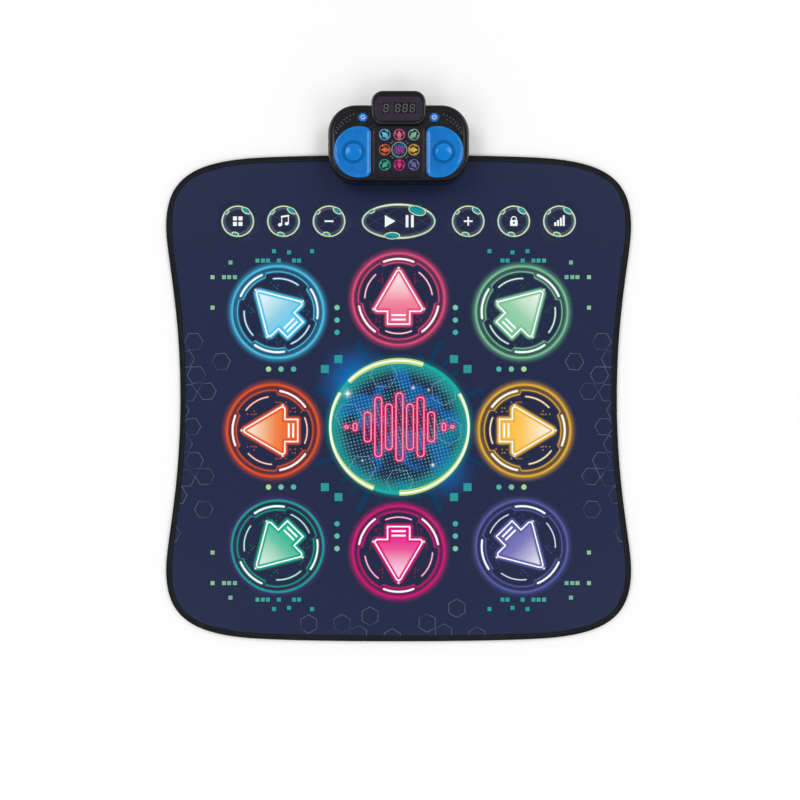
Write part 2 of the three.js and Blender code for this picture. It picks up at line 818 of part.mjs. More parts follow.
function boards() {
  const half = panelWidth / 2 + boardOverhang;
  const front = panelFront + boardOverhang / 2;
  const rear = panelFront + panelDepth;
  const chipY = bayFront - bayWall - chipSize;
  const lamp = lampSize / 2;
  const main = joined(
    block(-half, front, boardLevel, half, rear, boardTop),
    block(-chipSize * 2, chipY, boardLevel - chipHeight, -chipSize, chipY + chipSize, boardTop),
    ...wells().map(([x, y]) =>
      block(x - lamp, y - lamp, boardLevel, x + lamp, y + lamp, boardTop + lampHeight),
    ),
  );
  const guideHalf = panelWidth / 2 - guideInset;
  const guide = slab(
    panel(-guideHalf, panelFront + guideInset * 2, guideHalf, rear - guideInset),
    boardTop + seatGap,
    guideTop,
    wells().map(([x, y]) => circle(x, y, wellRadius, smallSteps)),
  );
  const hoodHalf = hoodWidth / 2 - wall - seatGap - edgeGap;
  const wing = buttonX + keyBoardWing;
  const keys = joined(
    slab(
      panel(-hoodHalf, hoodFront + wall + seatGap, hoodHalf, hoodRear - wall - seatGap, hoodRadius - wall),
      keyBoardLevel,
      keyBoardTop,
    ),
    block(-wing, buttonY - keyBoardWing, keyBoardLevel, wing, buttonY + keyBoardWing, keyBoardTop),
  );
  addTo(box, "main_board", main, boardGreen);
  addTo(box, "light_guide", guide, guideWhite);
  addTo(box, "key_board", keys, boardGreen);
}

// The ribbon's connector hangs under the main board, with a slot from below
function connector() {
  const half = ribbonWidth / 2 + ribbonSide;
  const level = boardLevel - seatGap - connectorHeight;
  const front = -filmThickness / 2 - connectorDepth / 2;
  const body = block(-half, front, level, half, front + connectorDepth, level + connectorHeight);
  const slot = block(
    -ribbonWidth / 2 - edgeGap,
    -filmThickness - edgeGap,
    level - overrun,
    ribbonWidth / 2 + edgeGap,
    edgeGap,
    level + ribbonReach + edgeGap,
  );
  placeIn(box, "ribbon_connector", geometryOf(cut(body, slot)), guideWhite, 0, ribbonY, 0);
}

function displays() {
  const low = keyBoardTop + seatGap;
  const high = hoodTop - faceThickness - displayRoof;
  const near = lensMiddle - digitDepth / 2;
  const far = lensMiddle + digitDepth / 2;
  const middle = (digitCount * digitWidth + digitGap) / 2;
  const half = digitWidth / 2;
  const scoreLeft = digitGap + half - middle;
  const scoreRight = scoreLeft + digitCount * digitWidth;
  addTo(box, "display_level", block(-middle - half, near, low, half - middle, far, high), lensSmoke);
  addTo(box, "display_score", block(scoreLeft, near, low, scoreRight, far, high), lensSmoke);
}

// Battery cells lie across the bay, turned end for end, between the two contact strips
function batteries() {
  const shape = geometryOf(
    turned([
      [0, -cellLength / 2],
      [cellRadius, -cellLength / 2],
      [cellRadius, cellLength / 2 - nubLength],
      [nubRadius, cellLength / 2 - nubLength],
      [nubRadius, cellLength / 2],
      [0, cellLength / 2],
    ]),
  );
  const places = [];
  for (let i = 0; i < cellCount; i += 1) {
    const y = cellFirst - i * cellPitch;
    const cell = placeIn(box, `battery_cell_${i + 1}`, shape, cellWrap, 0, y, cellAxis);
    cell.rotation.y = i % 2 === 0 ? Math.PI / 2 : -Math.PI / 2;
    places.push(y);
  }
  const strip = (tip) => {
    const high = cellRadius - contactThickness;
    const back = block(-high, places.at(-1) - cellRadius, 0, high, places[0] + cellRadius, contactThickness);
    const cones = places.map((y) => solidOf(
      new THREE.CylinderGeometry(tip, contactFoot, contactReach - seatGap, smallSteps)
        .rotateX(Math.PI / 2)
        .translate(0, y, (contactReach - seatGap) / 2),
    ));
    return geometryOf(joined(back, ...cones));
  };
  const contactX = bayHalf - edgeGap / 2;
  const springs = placeIn(box, "contact_spring", strip(contactTip), steel, -contactX, 0, cellAxis);
  springs.rotation.y = Math.PI / 2;
  const plates = placeIn(box, "contact_plate", strip(contactFoot / 2), steel, contactX, 0, cellAxis);
  plates.rotation.y = -Math.PI / 2;
}

// The battery door swings down about its rounded rear edge and carries its own screw
function batteryDoor() {
  const half = bayHalf + doorLedge - doorGap;
  const round = doorThickness / 2;
  const axisY = bayRear + doorLedge - doorGap - round;
  const front = bayFront - doorLedge + doorGap;
  const plate = block(-half, front, 0, half, axisY, doorThickness);
  const edge = new THREE.CylinderGeometry(round, round, half * 2, smallSteps).rotateZ(Math.PI / 2);
  const screwHole = drum(0, doorScrewY, screwRadius + screwGap, -overrun, doorThickness + overrun);
  const solid = cut(joined(plate, solidOf(edge.translate(0, axisY, round))), screwHole, doorHeadRoom());
  addTo(box, "battery_door", solid, caseBlack);
  const head = drum(0, 0, screwHeadRadius, 0, doorThickness / 2);
  const shank = drum(0, 0, screwRadius, 0, doorScrewLength);
  placeIn(box, "door_screw", geometryOf(joined(head, shank)), steel, 0, doorScrewY, 0);
}

function doorHeadRoom() {
  return drum(0, doorScrewY, screwHeadRadius + screwGap, -overrun, doorThickness / 2 + seatGap);
}

function fasteners() {
  const screw = geometryOf(
    joined(
      drum(0, 0, screwHeadRadius, 0, screwHeadHeight),
      drum(0, 0, screwRadius, 0, screwHeadHeight + screwLength),
    ),
  );
  screwPlaces().forEach(([x, y], i) => {
    placeIn(box, `case_screw_${i + 1}`, screw, steel, x, y, screwRecess - seatGap - screwHeadHeight);
  });
  const shankBottom = baseThickness / 2 + layerGap - boxLevel;
  const clampScrew = geometryOf(
    joined(
      drum(0, 0, screwHeadRadius, floorThickness + seatGap, floorThickness + seatGap + screwHeadHeight),
      drum(0, 0, screwRadius, shankBottom, floorThickness + seatGap),
    ),
  );
  const foot = geometryOf(
    joined(
      drum(0, 0, footRadius, -boxLevel, -seatGap, roundSteps),
      drum(0, 0, footStem, -boxLevel, floorThickness + seatGap),
      drum(0, 0, footStem + 2 * screwGap, floorThickness + seatGap, floorThickness * 2),
    ),
  );
  for (const [side, name] of [[-1, "left"], [1, "right"]]) {
    placeIn(box, `clamp_screw_${name}`, clampScrew, steel, side * clampBossX, clampY, 0);
    placeIn(box, `rear_foot_${name}`, foot, rubberBlack, side * footX, footY, 0);
  }
}

function sockets() {
  const front = boxDepth - usbLength;
  const half = usbWidth / 2;
  const low = usbMiddle - usbHeight / 2;
  const rear = boxDepth + socketProud;
  const usb = cut(
    block(-socketX - half, front, low, -socketX + half, rear, low + usbHeight),
    block(
      usbSkin - socketX - half,
      front + usbSkin,
      low + usbSkin,
      half - socketX - usbSkin,
      rear + overrun,
      low + usbHeight - usbSkin,
    ),
  );
  const barrel = barAlongY(socketX, boxDepth - audioLength, rear, audioMiddle, audioRadius);
  const boreEnd = boxDepth - audioLength + audioRadius;
  const bore = barAlongY(socketX, boreEnd, rear + overrun, audioMiddle, audioBore);
  addTo(box, "usb_socket", usb, steel);
  addTo(box, "audio_socket", cut(barrel, bore), caseBlack);
}

// Finishes
function finish(color, roughness, metalness = 0) {
  return new THREE.MeshStandardMaterial({ color, roughness, metalness });
}

const rubberBlack = finish(0x1b1c1e, 0.9);
const bindingBlack = finish(0x232429, 0.85);
const coverNavy = finish(0x26304d, 0.5);
const filmClear = finish(0xc9ccc8, 0.4);
const foamGrey = finish(0x8b8f92, 0.95);
const caseBlack = finish(0x1c1c1f, 0.4);
const caseBlue = finish(0x087ddc, 0.35);
const panelGrey = finish(0x24222f, 0.3);
const lensSmoke = finish(0x332c3c, 0.15);
const boardGreen = finish(0x1f5a38, 0.6);
const guideWhite = finish(0xe4e4de, 0.6);
const steel = finish(0xb9bcc0, 0.35, 1);
const cellWrap = finish(0x3f4448, 0.4);

// Assembly: the box is a group of its own, set over the rear edge of the mat
const danceMat = new THREE.Group();
const box = new THREE.Group();
box.position.set(0, boxFront, boxLevel);
danceMat.add(box);

function placeIn(parent, name, geometry, material, x, y, z) {
  const mesh = new THREE.Mesh(geometry, material);
  mesh.name = name;
  mesh.position.set(x, y, z);
  parent.add(mesh);
  return mesh;
}

function place(name, geometry, material, x, y, z) {
  return placeIn(danceMat, name, geometry, material, x, y, z);
}

function addTo(parent, name, solid, material) {
  return placeIn(parent, name, geometryOf(solid), material, 0, 0, 0);
}

function add(name, solid, material) {
  return addTo(danceMat, name, solid, material);
}

mat();
pads();
clamp();
ribbon();
addTo(box, "case_bottom", caseBottom(), caseBlack);
addTo(box, "case_top", caseTop(), caseBlack);
faceParts();
speakers();
buttons();
boards();
connector();
displays();
batteries();
batteryDoor();
fasteners();
sockets();

export default danceMat;
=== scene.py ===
import functools
import math

import bmesh
import bpy
import numpy as np
from mathutils.geometry import delaunay_2d_cdt
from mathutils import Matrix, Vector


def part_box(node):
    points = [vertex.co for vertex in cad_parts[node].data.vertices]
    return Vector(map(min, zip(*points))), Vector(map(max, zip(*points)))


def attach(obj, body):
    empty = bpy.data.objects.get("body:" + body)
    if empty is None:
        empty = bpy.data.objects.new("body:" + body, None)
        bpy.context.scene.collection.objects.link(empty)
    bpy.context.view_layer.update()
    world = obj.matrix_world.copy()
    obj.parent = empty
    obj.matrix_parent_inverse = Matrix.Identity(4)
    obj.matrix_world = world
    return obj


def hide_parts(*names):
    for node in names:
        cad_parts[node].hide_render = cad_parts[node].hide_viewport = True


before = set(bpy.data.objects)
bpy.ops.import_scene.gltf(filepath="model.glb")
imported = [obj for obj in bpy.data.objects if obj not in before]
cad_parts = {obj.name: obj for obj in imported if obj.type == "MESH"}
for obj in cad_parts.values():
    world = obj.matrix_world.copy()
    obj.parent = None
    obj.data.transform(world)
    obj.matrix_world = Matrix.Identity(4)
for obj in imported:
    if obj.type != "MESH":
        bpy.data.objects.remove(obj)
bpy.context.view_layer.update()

# An electronic dance mat with its music box
# Sizes are millimetres until a mesh is made, and tones run from 0 to 255
mm = 0.001
matBody = "mat_and_box"
print("Frame loaded with", len(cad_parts), "nodes")


def span(node):
    # lowest and highest corner of a CAD node
    return tuple(np.array(corner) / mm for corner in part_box(node))


def middle(node):
    low, high = span(node)
    return (low + high) / 2


def levels(node):
    # lowest and highest level of a CAD node
    low, high = span(node)
    return low[2], high[2]


def planMiddle(node):
    # x and y of a CAD node's middle
    return tuple(float(value) for value in middle(node)[:2])


# Camera straight above the mat, as the photograph was taken
view = {
    "height": 1513, "frameWidth": 1512, "aimX": 2.6, "aimY": -3.4, "matLevel": 5, "sensor": 36, "farthest": 100,
}


def makeCamera():
    data = bpy.data.cameras.new("camera")
    data.sensor_width = view["sensor"]
    data.lens = data.sensor_width * view["height"] / view["frameWidth"]
    data.clip_end = view["farthest"]
    camera = bpy.data.objects.new("camera", data)
    camera.location = (view["aimX"] * mm, view["aimY"] * mm, (view["height"] + view["matLevel"]) * mm)
    bpy.context.scene.collection.objects.link(camera)
    bpy.context.scene.camera = camera


makeCamera()
print("Camera placed")


# Finishes: node trees written as sums
def term(kind, swapped=False):
    # an operator on values, which adds a Math node; a reflected form swaps its two terms
    def apply(self, *others):
        return self.finish.math(kind, *((*others, self) if swapped else (self, *others)))
    return apply


class Value:
    # one output socket of a finish
    __add__, __radd__ = term("ADD"), term("ADD", True)
    __sub__, __rsub__ = term("SUBTRACT"), term("SUBTRACT", True)
    __mul__, __rmul__ = term("MULTIPLY"), term("MULTIPLY", True)
    __truediv__, __abs__ = term("DIVIDE"), term("ABSOLUTE")
    __lt__, __gt__ = term("LESS_THAN"), term("GREATER_THAN")
    least, most, root = term("MINIMUM"), term("MAXIMUM"), term("SQRT")
    near = term("COMPARE")  # 1 where the value lies within a reach of a centre

    def __init__(self, finish, socket):
        self.finish = finish
        self.socket = socket

    def fade(self, full, gone):
        # 1 at full, falling smoothly to 0 at gone
        return self.finish.spread(self, full, gone, 1, 0)

    def glow(self, start, end, strength, fall=2.3):
        # light that is strongest at start and dies away towards end
        share = self.finish.spread(self, start, end, 1, 0, "LINEAR")
        return self.finish.math("POWER", share, fall) * strength


def nearest(gaps):
    # the smallest of several distances, each worked out when its turn comes
    return functools.reduce(Value.least, gaps)


def together(masks):
    # 1 where any of several masks is 1
    return functools.reduce(Value.most, masks)


def linear(tone):
    # a tone as a screen shows it, to the linear colour that a shader takes
    share = np.array(tone) / 255
    made = np.where(share <= 0.04045, share / 12.92, ((share + 0.055) / 1.055) ** 2.4)
    return (*map(float, made), 1.0)


def shaded(tone, share, lift=0):
    # a tone made darker by a share, then lifted
    return [value * share + lift for value in tone]


class Finish:
    # a material, or the world, while its nodes are made; every node comes from one method
    def __init__(self, name, owner=None):
        self.owner = owner or bpy.data.materials.new(name)
        self.owner.use_nodes = True
        self.tree = self.owner.node_tree
        self.tree.nodes.clear()

    def node(self, kind, settings=None, sockets=None):
        made = self.tree.nodes.new("ShaderNode" + kind)
        for key, value in (settings or {}).items():
            if key == "stops":
                self.setStops(made.color_ramp.elements, value)
            else:
                setattr(made, key, value)
        for key, value in (sockets or {}).items():
            if isinstance(value, Value):
                self.tree.links.new(value.socket, made.inputs[key])
            else:
                made.inputs[key].default_value = value
        return made

    def setStops(self, elements, stops):
        while len(elements) < len(stops):
            elements.new(1)
        for element, (place, tone) in zip(elements, stops):
            element.position = place
            element.color = linear(tone)

    def output(self, kind, socket, settings=None, sockets=None):
        return Value(self, self.node(kind, settings, sockets).outputs[socket])

    def math(self, kind, *terms):
        return self.output("Math", 0, {"operation": kind}, dict(enumerate(terms)))

    def vector(self, kind, *terms, **named):
        single = kind in ("LENGTH", "DISTANCE", "DOT_PRODUCT")
        sockets = dict(enumerate(terms)) | named
        return self.output("VectorMath", "Value" if single else "Vector", {"operation": kind}, sockets)

    def parts(self, point):
        # the x, y and z of a point
        return [Value(self, socket) for socket in self.node("SeparateXYZ", {}, {0: point}).outputs]

    def mix(self, share, first, second):
        # first where share is 0, second where it is 1
        tones = [tone if isinstance(tone, Value) else linear(tone) for tone in (first, second)]
        return self.output("Mix", 2, {"data_type": "RGBA"}, {0: share, 6: tones[0], 7: tones[1]})

    def within(self, colour, gap, *layers):
        # each layer's tone covers the colour where the distance is under its limit
        for limit, tone in layers:
            colour = self.mix(gap < limit, colour, tone)
        return colour

    def spread(self, value, fromLow, fromHigh, toLow=0, toHigh=1, kind="SMOOTHSTEP"):
        # a change from one range to another
        sockets = dict(enumerate((value, fromLow, fromHigh, toLow, toHigh)))
        return self.output("MapRange", 0, {"interpolation_type": kind}, sockets)

    def place(self):
        # where a point of the object is
        return self.vector("SCALE", self.output("TexCoord", "Object"), Scale=1 / mm)

    def turned(self, point, angle):
        # a point turned about Z
        return self.output("VectorRotate", 0, {"rotation_type": "Z_AXIS"}, {"Vector": point, "Angle": angle})

    def noise(self, point, size, detail=2.0, roughness=0.5):
        sockets = {"Vector": point, "Scale": 1 / size, "Detail": detail, "Roughness": roughness}
        return self.output("TexNoise", 0, {}, sockets)

    def patches(self, point, size, detail, roughness=0.5, low=0, high=1):
        # soft-edged clouds of noise between two values
        return self.spread(self.noise(point, size, detail, roughness), 0.3, 0.7, low, high)

    def cells(self, point, size):
        # distance to the nearest of scattered points
        return self.output("TexVoronoi", "Distance", {}, {"Vector": point, "Scale": 1 / size})

    def bump(self, height, depth, strength=1.0):
        return self.output("Bump", 0, {}, {"Height": height, "Distance": depth * mm, "Strength": strength})

    def surface(self, colour, roughness, normal=None, others=None):
        sockets = {"Base Color": colour, "Roughness": roughness} | (others or {})
        if normal:
            sockets["Normal"] = normal
        shader = self.node("BsdfPrincipled", {}, sockets)
        return self.end("OutputMaterial", shader)

    def end(self, kind, shader):
        self.tree.links.new(shader.outputs[0], self.node(kind).inputs[0])
        return self.owner


class Plan:
    # a flat print: its point, x and y, and the distances from shapes drawn on it
    def __init__(self, finish, point):
        self.finish = finish
        self.point = finish.vector("MULTIPLY", point, (1, 1, 0))
        self.x, self.y, _ = finish.parts(self.point)

    def at(self, x, y, turn=0.0):
        # the same print seen from another centre, turned by an angle in degrees
        moved = self.finish.vector("SUBTRACT", self.point, (x, y, 0))
        return Plan(self.finish, self.finish.turned(moved, math.radians(-turn)) if turn else moved)

    def mirrored(self):
        # all four quarters drawn as one
        return Plan(self.finish, self.finish.vector("ABSOLUTE", self.point))

    def merged(self, x, y):
        # a print at another x and y
        return Plan(self.finish, self.finish.output("CombineXYZ", 0, {}, {0: x, 1: y}))

    def folded(self):
        # both sides of the y axis drawn as one; y keeps its sign
        return self.merged(abs(self.x), self.y)

    def range(self, x=0.0, y=0.0):
        return self.finish.vector("DISTANCE", self.point, (x, y, 0))

    def box(self, x, y, halfX, halfY, soft=0.0):
        # signed distance to a rectangle with round corners
        f = self.finish
        moved = f.vector("SUBTRACT", self.point, (x, y, 0))
        over = f.vector("SUBTRACT", f.vector("ABSOLUTE", moved), (halfX - soft, halfY - soft, 0))
        outside = f.vector("LENGTH", f.vector("MAXIMUM", over, (0, 0, 0)))
        acrossX, acrossY, _ = f.parts(over)
        return outside + acrossX.most(acrossY).least(0) - soft

    def stroke(self, fromX, fromY, toX, toY):
        # distance to a straight line between two points
        f = self.finish
        alongX, alongY = toX - fromX, toY - fromY
        moved = f.vector("SUBTRACT", self.point, (fromX, fromY, 0))
        length = alongX**2 + alongY**2
        share = f.vector("DOT_PRODUCT", moved, (alongX / length, alongY / length, 0)).most(0).least(1)
        return f.vector("DISTANCE", moved, f.vector("SCALE", (alongX, alongY, 0), Scale=share))

    def oval(self, x, y, halfX, halfY, turn=0.0):
        # distance to an ellipse: how far the scaled radius passes 1, over its slope
        f = self.finish
        own = self.at(x, y, turn).point
        scaled = f.vector("LENGTH", f.vector("DIVIDE", own, (halfX, halfY, 1)))
        slope = f.vector("LENGTH", f.vector("DIVIDE", own, (halfX**2, halfY**2, 1)))
        return (scaled - 1) * scaled / slope.most(0.0001)

    def star(self, x, y, reach):
        # a four-pointed glint: the square roots of both distances add up to less than its reach
        f = self.finish
        moved = f.vector("ABSOLUTE", f.vector("SUBTRACT", self.point, (x, y, 0)))
        acrossX, acrossY, _ = f.parts(moved)
        return (acrossX.root() + acrossY.root()).fade(reach**0.5 * 0.35, reach**0.5)


# Plain finishes
def grained(name, tone, roughness=0.4, grain=0.6, depth=0.05):
    # moulded or coated surface: a fine grain, and faint clouds in its tone and gloss
    f = Finish(name)
    point = f.place()
    cloud = f.noise(point, 40, 3)
    shade = f.mix(cloud.fade(0.7, 0.3) * 0.5, tone, shaded(tone, 1.1, 3))
    scuff = f.noise(point, 4, 4, 0.7)
    gloss = f.spread(scuff, 0.3, 0.75, roughness - 0.05, roughness + 0.07)
    return f.surface(shade, gloss, f.bump(f.noise(point, grain, 2), depth))


def brushed(name, tone, roughness=0.3, run=(0.03, 1, 1)):
    # metal with fine lines along one axis
    f = Finish(name)
    lines = f.noise(f.vector("MULTIPLY", f.place(), run), 0.5, 4, 0.7)
    shade = f.mix(f.spread(lines, 0.3, 0.7) * 0.25, tone, shaded(tone, 0.72))
    gloss = f.spread(lines, 0.3, 0.7, roughness - 0.06, roughness + 0.08)
    return f.surface(shade, gloss, f.bump(lines, 0.02), {"Metallic": 1.0})


def foamed(name, tone):
    # open pores, painted darker than the skin between them as shade in the hollows
    f = Finish(name)
    pores = f.cells(f.place(), 1.6)
    return f.surface(f.mix(pores.fade(0.15, 0.6) * 0.6, tone, shaded(tone, 0.6)), 0.95, f.bump(pores, 0.35))


def inked(name):
    # clear film with printed silver tracks
    f = Finish(name)
    plan = Plan(f, f.place())
    tracks = f.math("PINGPONG", plan.y + f.noise(plan.point, 60) * 20, 6) < 0.8
    shade = f.mix(tracks, (205, 208, 203), (150, 152, 156))
    silver = {"Metallic": tracks * 0.8}
    return f.surface(shade, 0.35 + tracks * 0.15, None, silver)


def printedBoard(name):
    # green lacquer over copper tracks, with round solder pads
    f = Finish(name)
    plan = Plan(f, f.place())
    wander = f.noise(plan.point, 22, 1)
    across, along = (f.math("PINGPONG", way + wander * 14, 2.2).near(1.1, 0.35) for way in (plan.x, plan.y))
    tracks = f.mix(wander > 0.5, (0, 0, 0), (255, 255, 255))
    copper = across * tracks + along * (1 - (wander > 0.5))
    pads = f.cells(plan.point, 4.5) < 0.16
    lacquer = f.mix(copper * 0.55, (27, 84, 50), (66, 128, 72))
    shade = f.mix(pads, lacquer, (200, 200, 196))
    solder = {"Metallic": pads * 0.9}
    return f.surface(shade, 0.35 + pads * 0.1, f.bump(copper + pads * 2, 0.05), solder)


def cellFinish():
    # a wrapped cell: a dark sleeve with a copper band, bare steel at both ends
    f = Finish("cell_wrap")
    point = f.place()
    along, _, _ = f.parts(point)
    scuff = f.noise(point, 3, 4, 0.7)
    colour = f.mix(along > 12, (32, 34, 38), (176, 112, 52))
    colour = f.mix(abs(along) > 24.2, colour, (190, 192, 196))
    ends = {"Metallic": (abs(along) > 24.2) * 1.0}
    return f.surface(colour, 0.25 + scuff * 0.25, None, ends)


finishes = {
    "rubber": grained("grip_rubber", (27, 28, 30), 0.85, 0.8, 0.12),
    "seam": grained("socket_black", (18, 18, 20), 0.5),
    "white": grained("white_moulding", (226, 226, 220), 0.5),
    "cone": grained("speaker_cone", (30, 30, 33), 0.7, 0.5, 0.1),
    "steel": brushed("plated_steel", (176, 178, 182)),
    "basket": brushed("speaker_steel", (44, 45, 48), 0.5, (1, 1, 0.05)),
    "contact": brushed("contact_strip", (206, 202, 190), 0.25, (1, 0.05, 1)),
    "foam": foamed("spacer_foam", (139, 143, 146)),
    "film": inked("circuit_film"),
    "board": printedBoard("circuit_board"),
    "display": grained("display_block", (16, 16, 18), 0.25),
    "cell": cellFinish(),
}
print("Plain finishes made")


# Meshes
def gridFaces(rows, count, wrapRows=False):
    # a quad between each two neighbours of a grid whose rows are closed rings
    row = np.arange(rows if wrapRows else rows - 1)[:, None]
    after = (row + 1) % rows
    here = np.arange(count)[None, :]
    beside = (here + 1) % count
    quads = [row * count + here, row * count + beside, after * count + beside, after * count + here]
    return np.stack(np.broadcast_arrays(*quads), -1).reshape(-1, 4).tolist()


def ringStack(ring, profile):
    # an outline at each (inset, level) pair of a profile
    return [(ring(inset), level) for inset, level in profile]


def loft(rows, wrapRows=False):
    # rings of equal length joined in order, closed at both ends; each row is (ring, level)
    count = len(rows[0][0])
    points = np.concatenate([np.column_stack([ring, np.broadcast_to(level, count)]) for ring, level in rows])
    faces = gridFaces(len(rows), count, wrapRows)
    if not wrapRows:
        faces.append(list(range(count))[::-1])
        faces.append(list(range(len(points) - count, len(points))))
    return points, faces


def copies(shape, places, turns=None):
    # one small shape set down at each place, turned about Z by its own angle
    points, faces = shape
    turns = np.zeros(len(places)) if turns is None else turns
    cosine, sine = np.cos(turns)[:, None], np.sin(turns)[:, None]
    x, y, z = points.T
    level = np.broadcast_to(z, (len(places), len(z)))
    placed = np.stack([x * cosine - y * sine, x * sine + y * cosine, level], -1)
    placed = (placed + np.asarray(places)[:, None, :]).reshape(-1, 3)
    made = []
    for size in sorted({len(face) for face in faces}):
        corners = np.array([face for face in faces if len(face) == size])
        steps = len(points) * np.arange(len(places))[:, None, None]
        made += (corners[None] + steps).reshape(-1, size).tolist()
    return placed, made


def moved(shape, x, y, z=0):
    # every point shifted by the same step
    return shape[0] + np.array([x, y, z]), shape[1]


def flatPlaces(spots, level=0.0):
    # points of a plan, all at one level or each at its own
    return np.column_stack([spots, np.broadcast_to(level, len(spots))])


def circle(radius, steps=48, x=0.0, y=0.0):
    # the centre plus the radius times the cosine and sine of even turns
    turn = np.linspace(0, 2 * np.pi, steps, endpoint=False)
    return np.column_stack([x + radius * np.cos(turn), y + radius * np.sin(turn)])


def roundRect(left, front, right, rear, radius, steps=10):
    # four quarter circles, one at each corner
    turn = np.linspace(0, np.pi / 2, steps + 1)
    centres = [(right - radius, rear - radius), (left + radius, rear - radius)]
    centres += [(left + radius, front + radius), (right - radius, front + radius)]
    quarters = []
    for number, (x, y) in enumerate(centres):
        angle = turn + number * np.pi / 2
        quarters.append(np.column_stack([x + radius * np.cos(angle), y + radius * np.sin(angle)]))
    return np.concatenate(quarters)


def outline(corners, radius, steps=10):
    # a function that gives a round-cornered rectangle drawn in by an inset
    left, front, right, rear = corners
    return lambda inset=0.0: roundRect(
        left + inset, front + inset, right - inset, rear - inset, radius - inset, steps)


def turnOver(start, end, steps=5, rising=True):
    # a quarter of an ellipse between two (inset, level) pairs: upright first if rising, else level first
    angle = np.linspace(0, np.pi / 2, steps + 1)
    along, up = (1 - np.cos(angle), np.sin(angle)) if rising else (np.sin(angle), 1 - np.cos(angle))
    return [(start[0] + (end[0] - start[0]) * a, start[1] + (end[1] - start[1]) * u) for a, u in zip(along, up)]


def lathe(profile, steps=48):
    # a profile of (radius, level) pairs turned about Z
    return loft(ringStack(lambda radius: circle(radius, steps), profile))


def prism(ring, low, high):
    # one outline at two levels
    return loft([(ring, low), (ring, high)])


def block(low, high):
    # a box from its lowest to its highest corner
    ring = np.array([[low[0], low[1]], [high[0], low[1]], [high[0], high[1]], [low[0], high[1]]])
    return prism(ring, low[2], high[2])


def outward(ring):
    # the direction across a closed outline at each point, from the line between its neighbours
    along = np.roll(ring, -1, 0) - np.roll(ring, 1, 0)
    along /= np.linalg.norm(along, axis=1, keepdims=True)
    return np.column_stack([along[:, 1], -along[:, 0]])


def sweep(ring, profile):
    # a closed profile of (inset, level) pairs carried round a closed outline
    normal = outward(ring)
    return loft(ringStack(lambda inset: ring - normal * inset, profile), wrapRows=True)


def evenly(ring, pitch):
    # points at even steps along a closed outline, and the direction at each
    closed = np.vstack([ring, ring[:1]])
    steps = np.linalg.norm(np.diff(closed, axis=0), axis=1)
    reached = np.concatenate([[0], np.cumsum(steps)])
    count = round(reached[-1] / pitch)
    marks = np.arange(count) * reached[-1] / count
    points = np.column_stack([np.interp(marks, reached, closed[:, axis]) for axis in (0, 1)])
    ahead = np.roll(points, -1, 0) - np.roll(points, 1, 0)
    return points, np.arctan2(ahead[:, 1], ahead[:, 0])


def rawObject(name, shape):
    points, faces = shape
    mesh = bpy.data.meshes.new(name)
    mesh.from_pydata((np.asarray(points) * mm).tolist(), [], faces)
    shell = bmesh.new()
    shell.from_mesh(mesh)
    bmesh.ops.recalc_face_normals(shell, faces=shell.faces)
    shell.to_mesh(mesh)
    shell.free()
    made = bpy.data.objects.new(name, mesh)
    bpy.context.scene.collection.objects.link(made)
    return made


def carve(piece, tool, how="DIFFERENCE"):
    # cuts a shape out of a piece, or joins it on, and keeps the result as plain mesh
    cutter = rawObject("cutter", tool)
    step = piece.modifiers.new("carve", "BOOLEAN")
    step.operation = how
    step.solver = "EXACT"
    step.object = cutter
    settled = piece.evaluated_get(bpy.context.evaluated_depsgraph_get())
    mesh = bpy.data.meshes.new_from_object(settled)
    piece.modifiers.clear()
    piece.data = mesh
    bpy.data.objects.remove(cutter)


def thicken(piece, thickness, side):
    # gives a sheet its wall, to one side of it
    wall = piece.modifiers.new("thickness", "SOLIDIFY")
    wall.thickness = float(thickness) * mm
    wall.offset = side


def finished(piece, finish, body=matBody, slot=None, stands=(), bend=32):
    # smooth shading with sharp corners kept, a finish, and the body that it rides on
    mesh = piece.data
    mesh.polygons.foreach_set("use_smooth", np.ones(len(mesh.polygons), dtype=bool))
    mesh.set_sharp_from_angle(angle=math.radians(bend))
    mesh.materials.clear()
    mesh.materials.append(finish)
    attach(piece, body)
    if stands:
        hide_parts(*stands)
    return piece


def makePiece(name, shape, finish, **ways):
    return finished(rawObject(name, shape), finish, **ways)


# Mat outline: two bends and a slight bow for each quarter, mirrored to all four
matShape = {
    "waistHalf": 413, "shoulder": 325, "end": 259, "endDrop": 4.5,
    "sideShares": (0.534, 0.832), "cornerShares": (0.69, 0.735), "endShare": 0.645, "steps": 20,
}


def bezier(corners):
    # a curve from its control points, by blending neighbours until one point is left
    share = np.linspace(0, 1, matShape["steps"], endpoint=False)[:, None]
    level = [np.array(corner, dtype=float) for corner in corners]
    while len(level) > 1:
        level = [first + (second - first) * share for first, second in zip(level, level[1:])]
    return level[0]


def matRing(inset=0.0):
    # side, corner and front curve of one quarter, mirrored twice, then drawn in along its normals
    waist, shoulder, end, drop = (matShape[key] for key in ("waistHalf", "shoulder", "end", "endDrop"))
    x, y = span("edge_binding")[1][:2]
    low, high = (share * shoulder for share in matShape["sideShares"])
    up, out = matShape["cornerShares"]
    fall = y - drop
    turnX = end + (x - end) * out
    endTurn = end * matShape["endShare"]
    turnY = fall - (turnX - end) * drop / (end - endTurn)
    cornerY = shoulder + (fall - shoulder) * up
    side = bezier([(waist, 0), (waist, low), (x, high), (x, shoulder)])
    corner = bezier([(x, shoulder), (x, cornerY), (turnX, turnY), (end, fall)])
    front = bezier([(end, fall), (endTurn, y), (0, y)])
    quarter = np.concatenate([side, corner, front, [(0, y)]])
    half = np.concatenate([quarter[:-1], (quarter * (-1, 1))[:0:-1]])
    ring = np.concatenate([half, -half])
    return ring - outward(ring) * inset


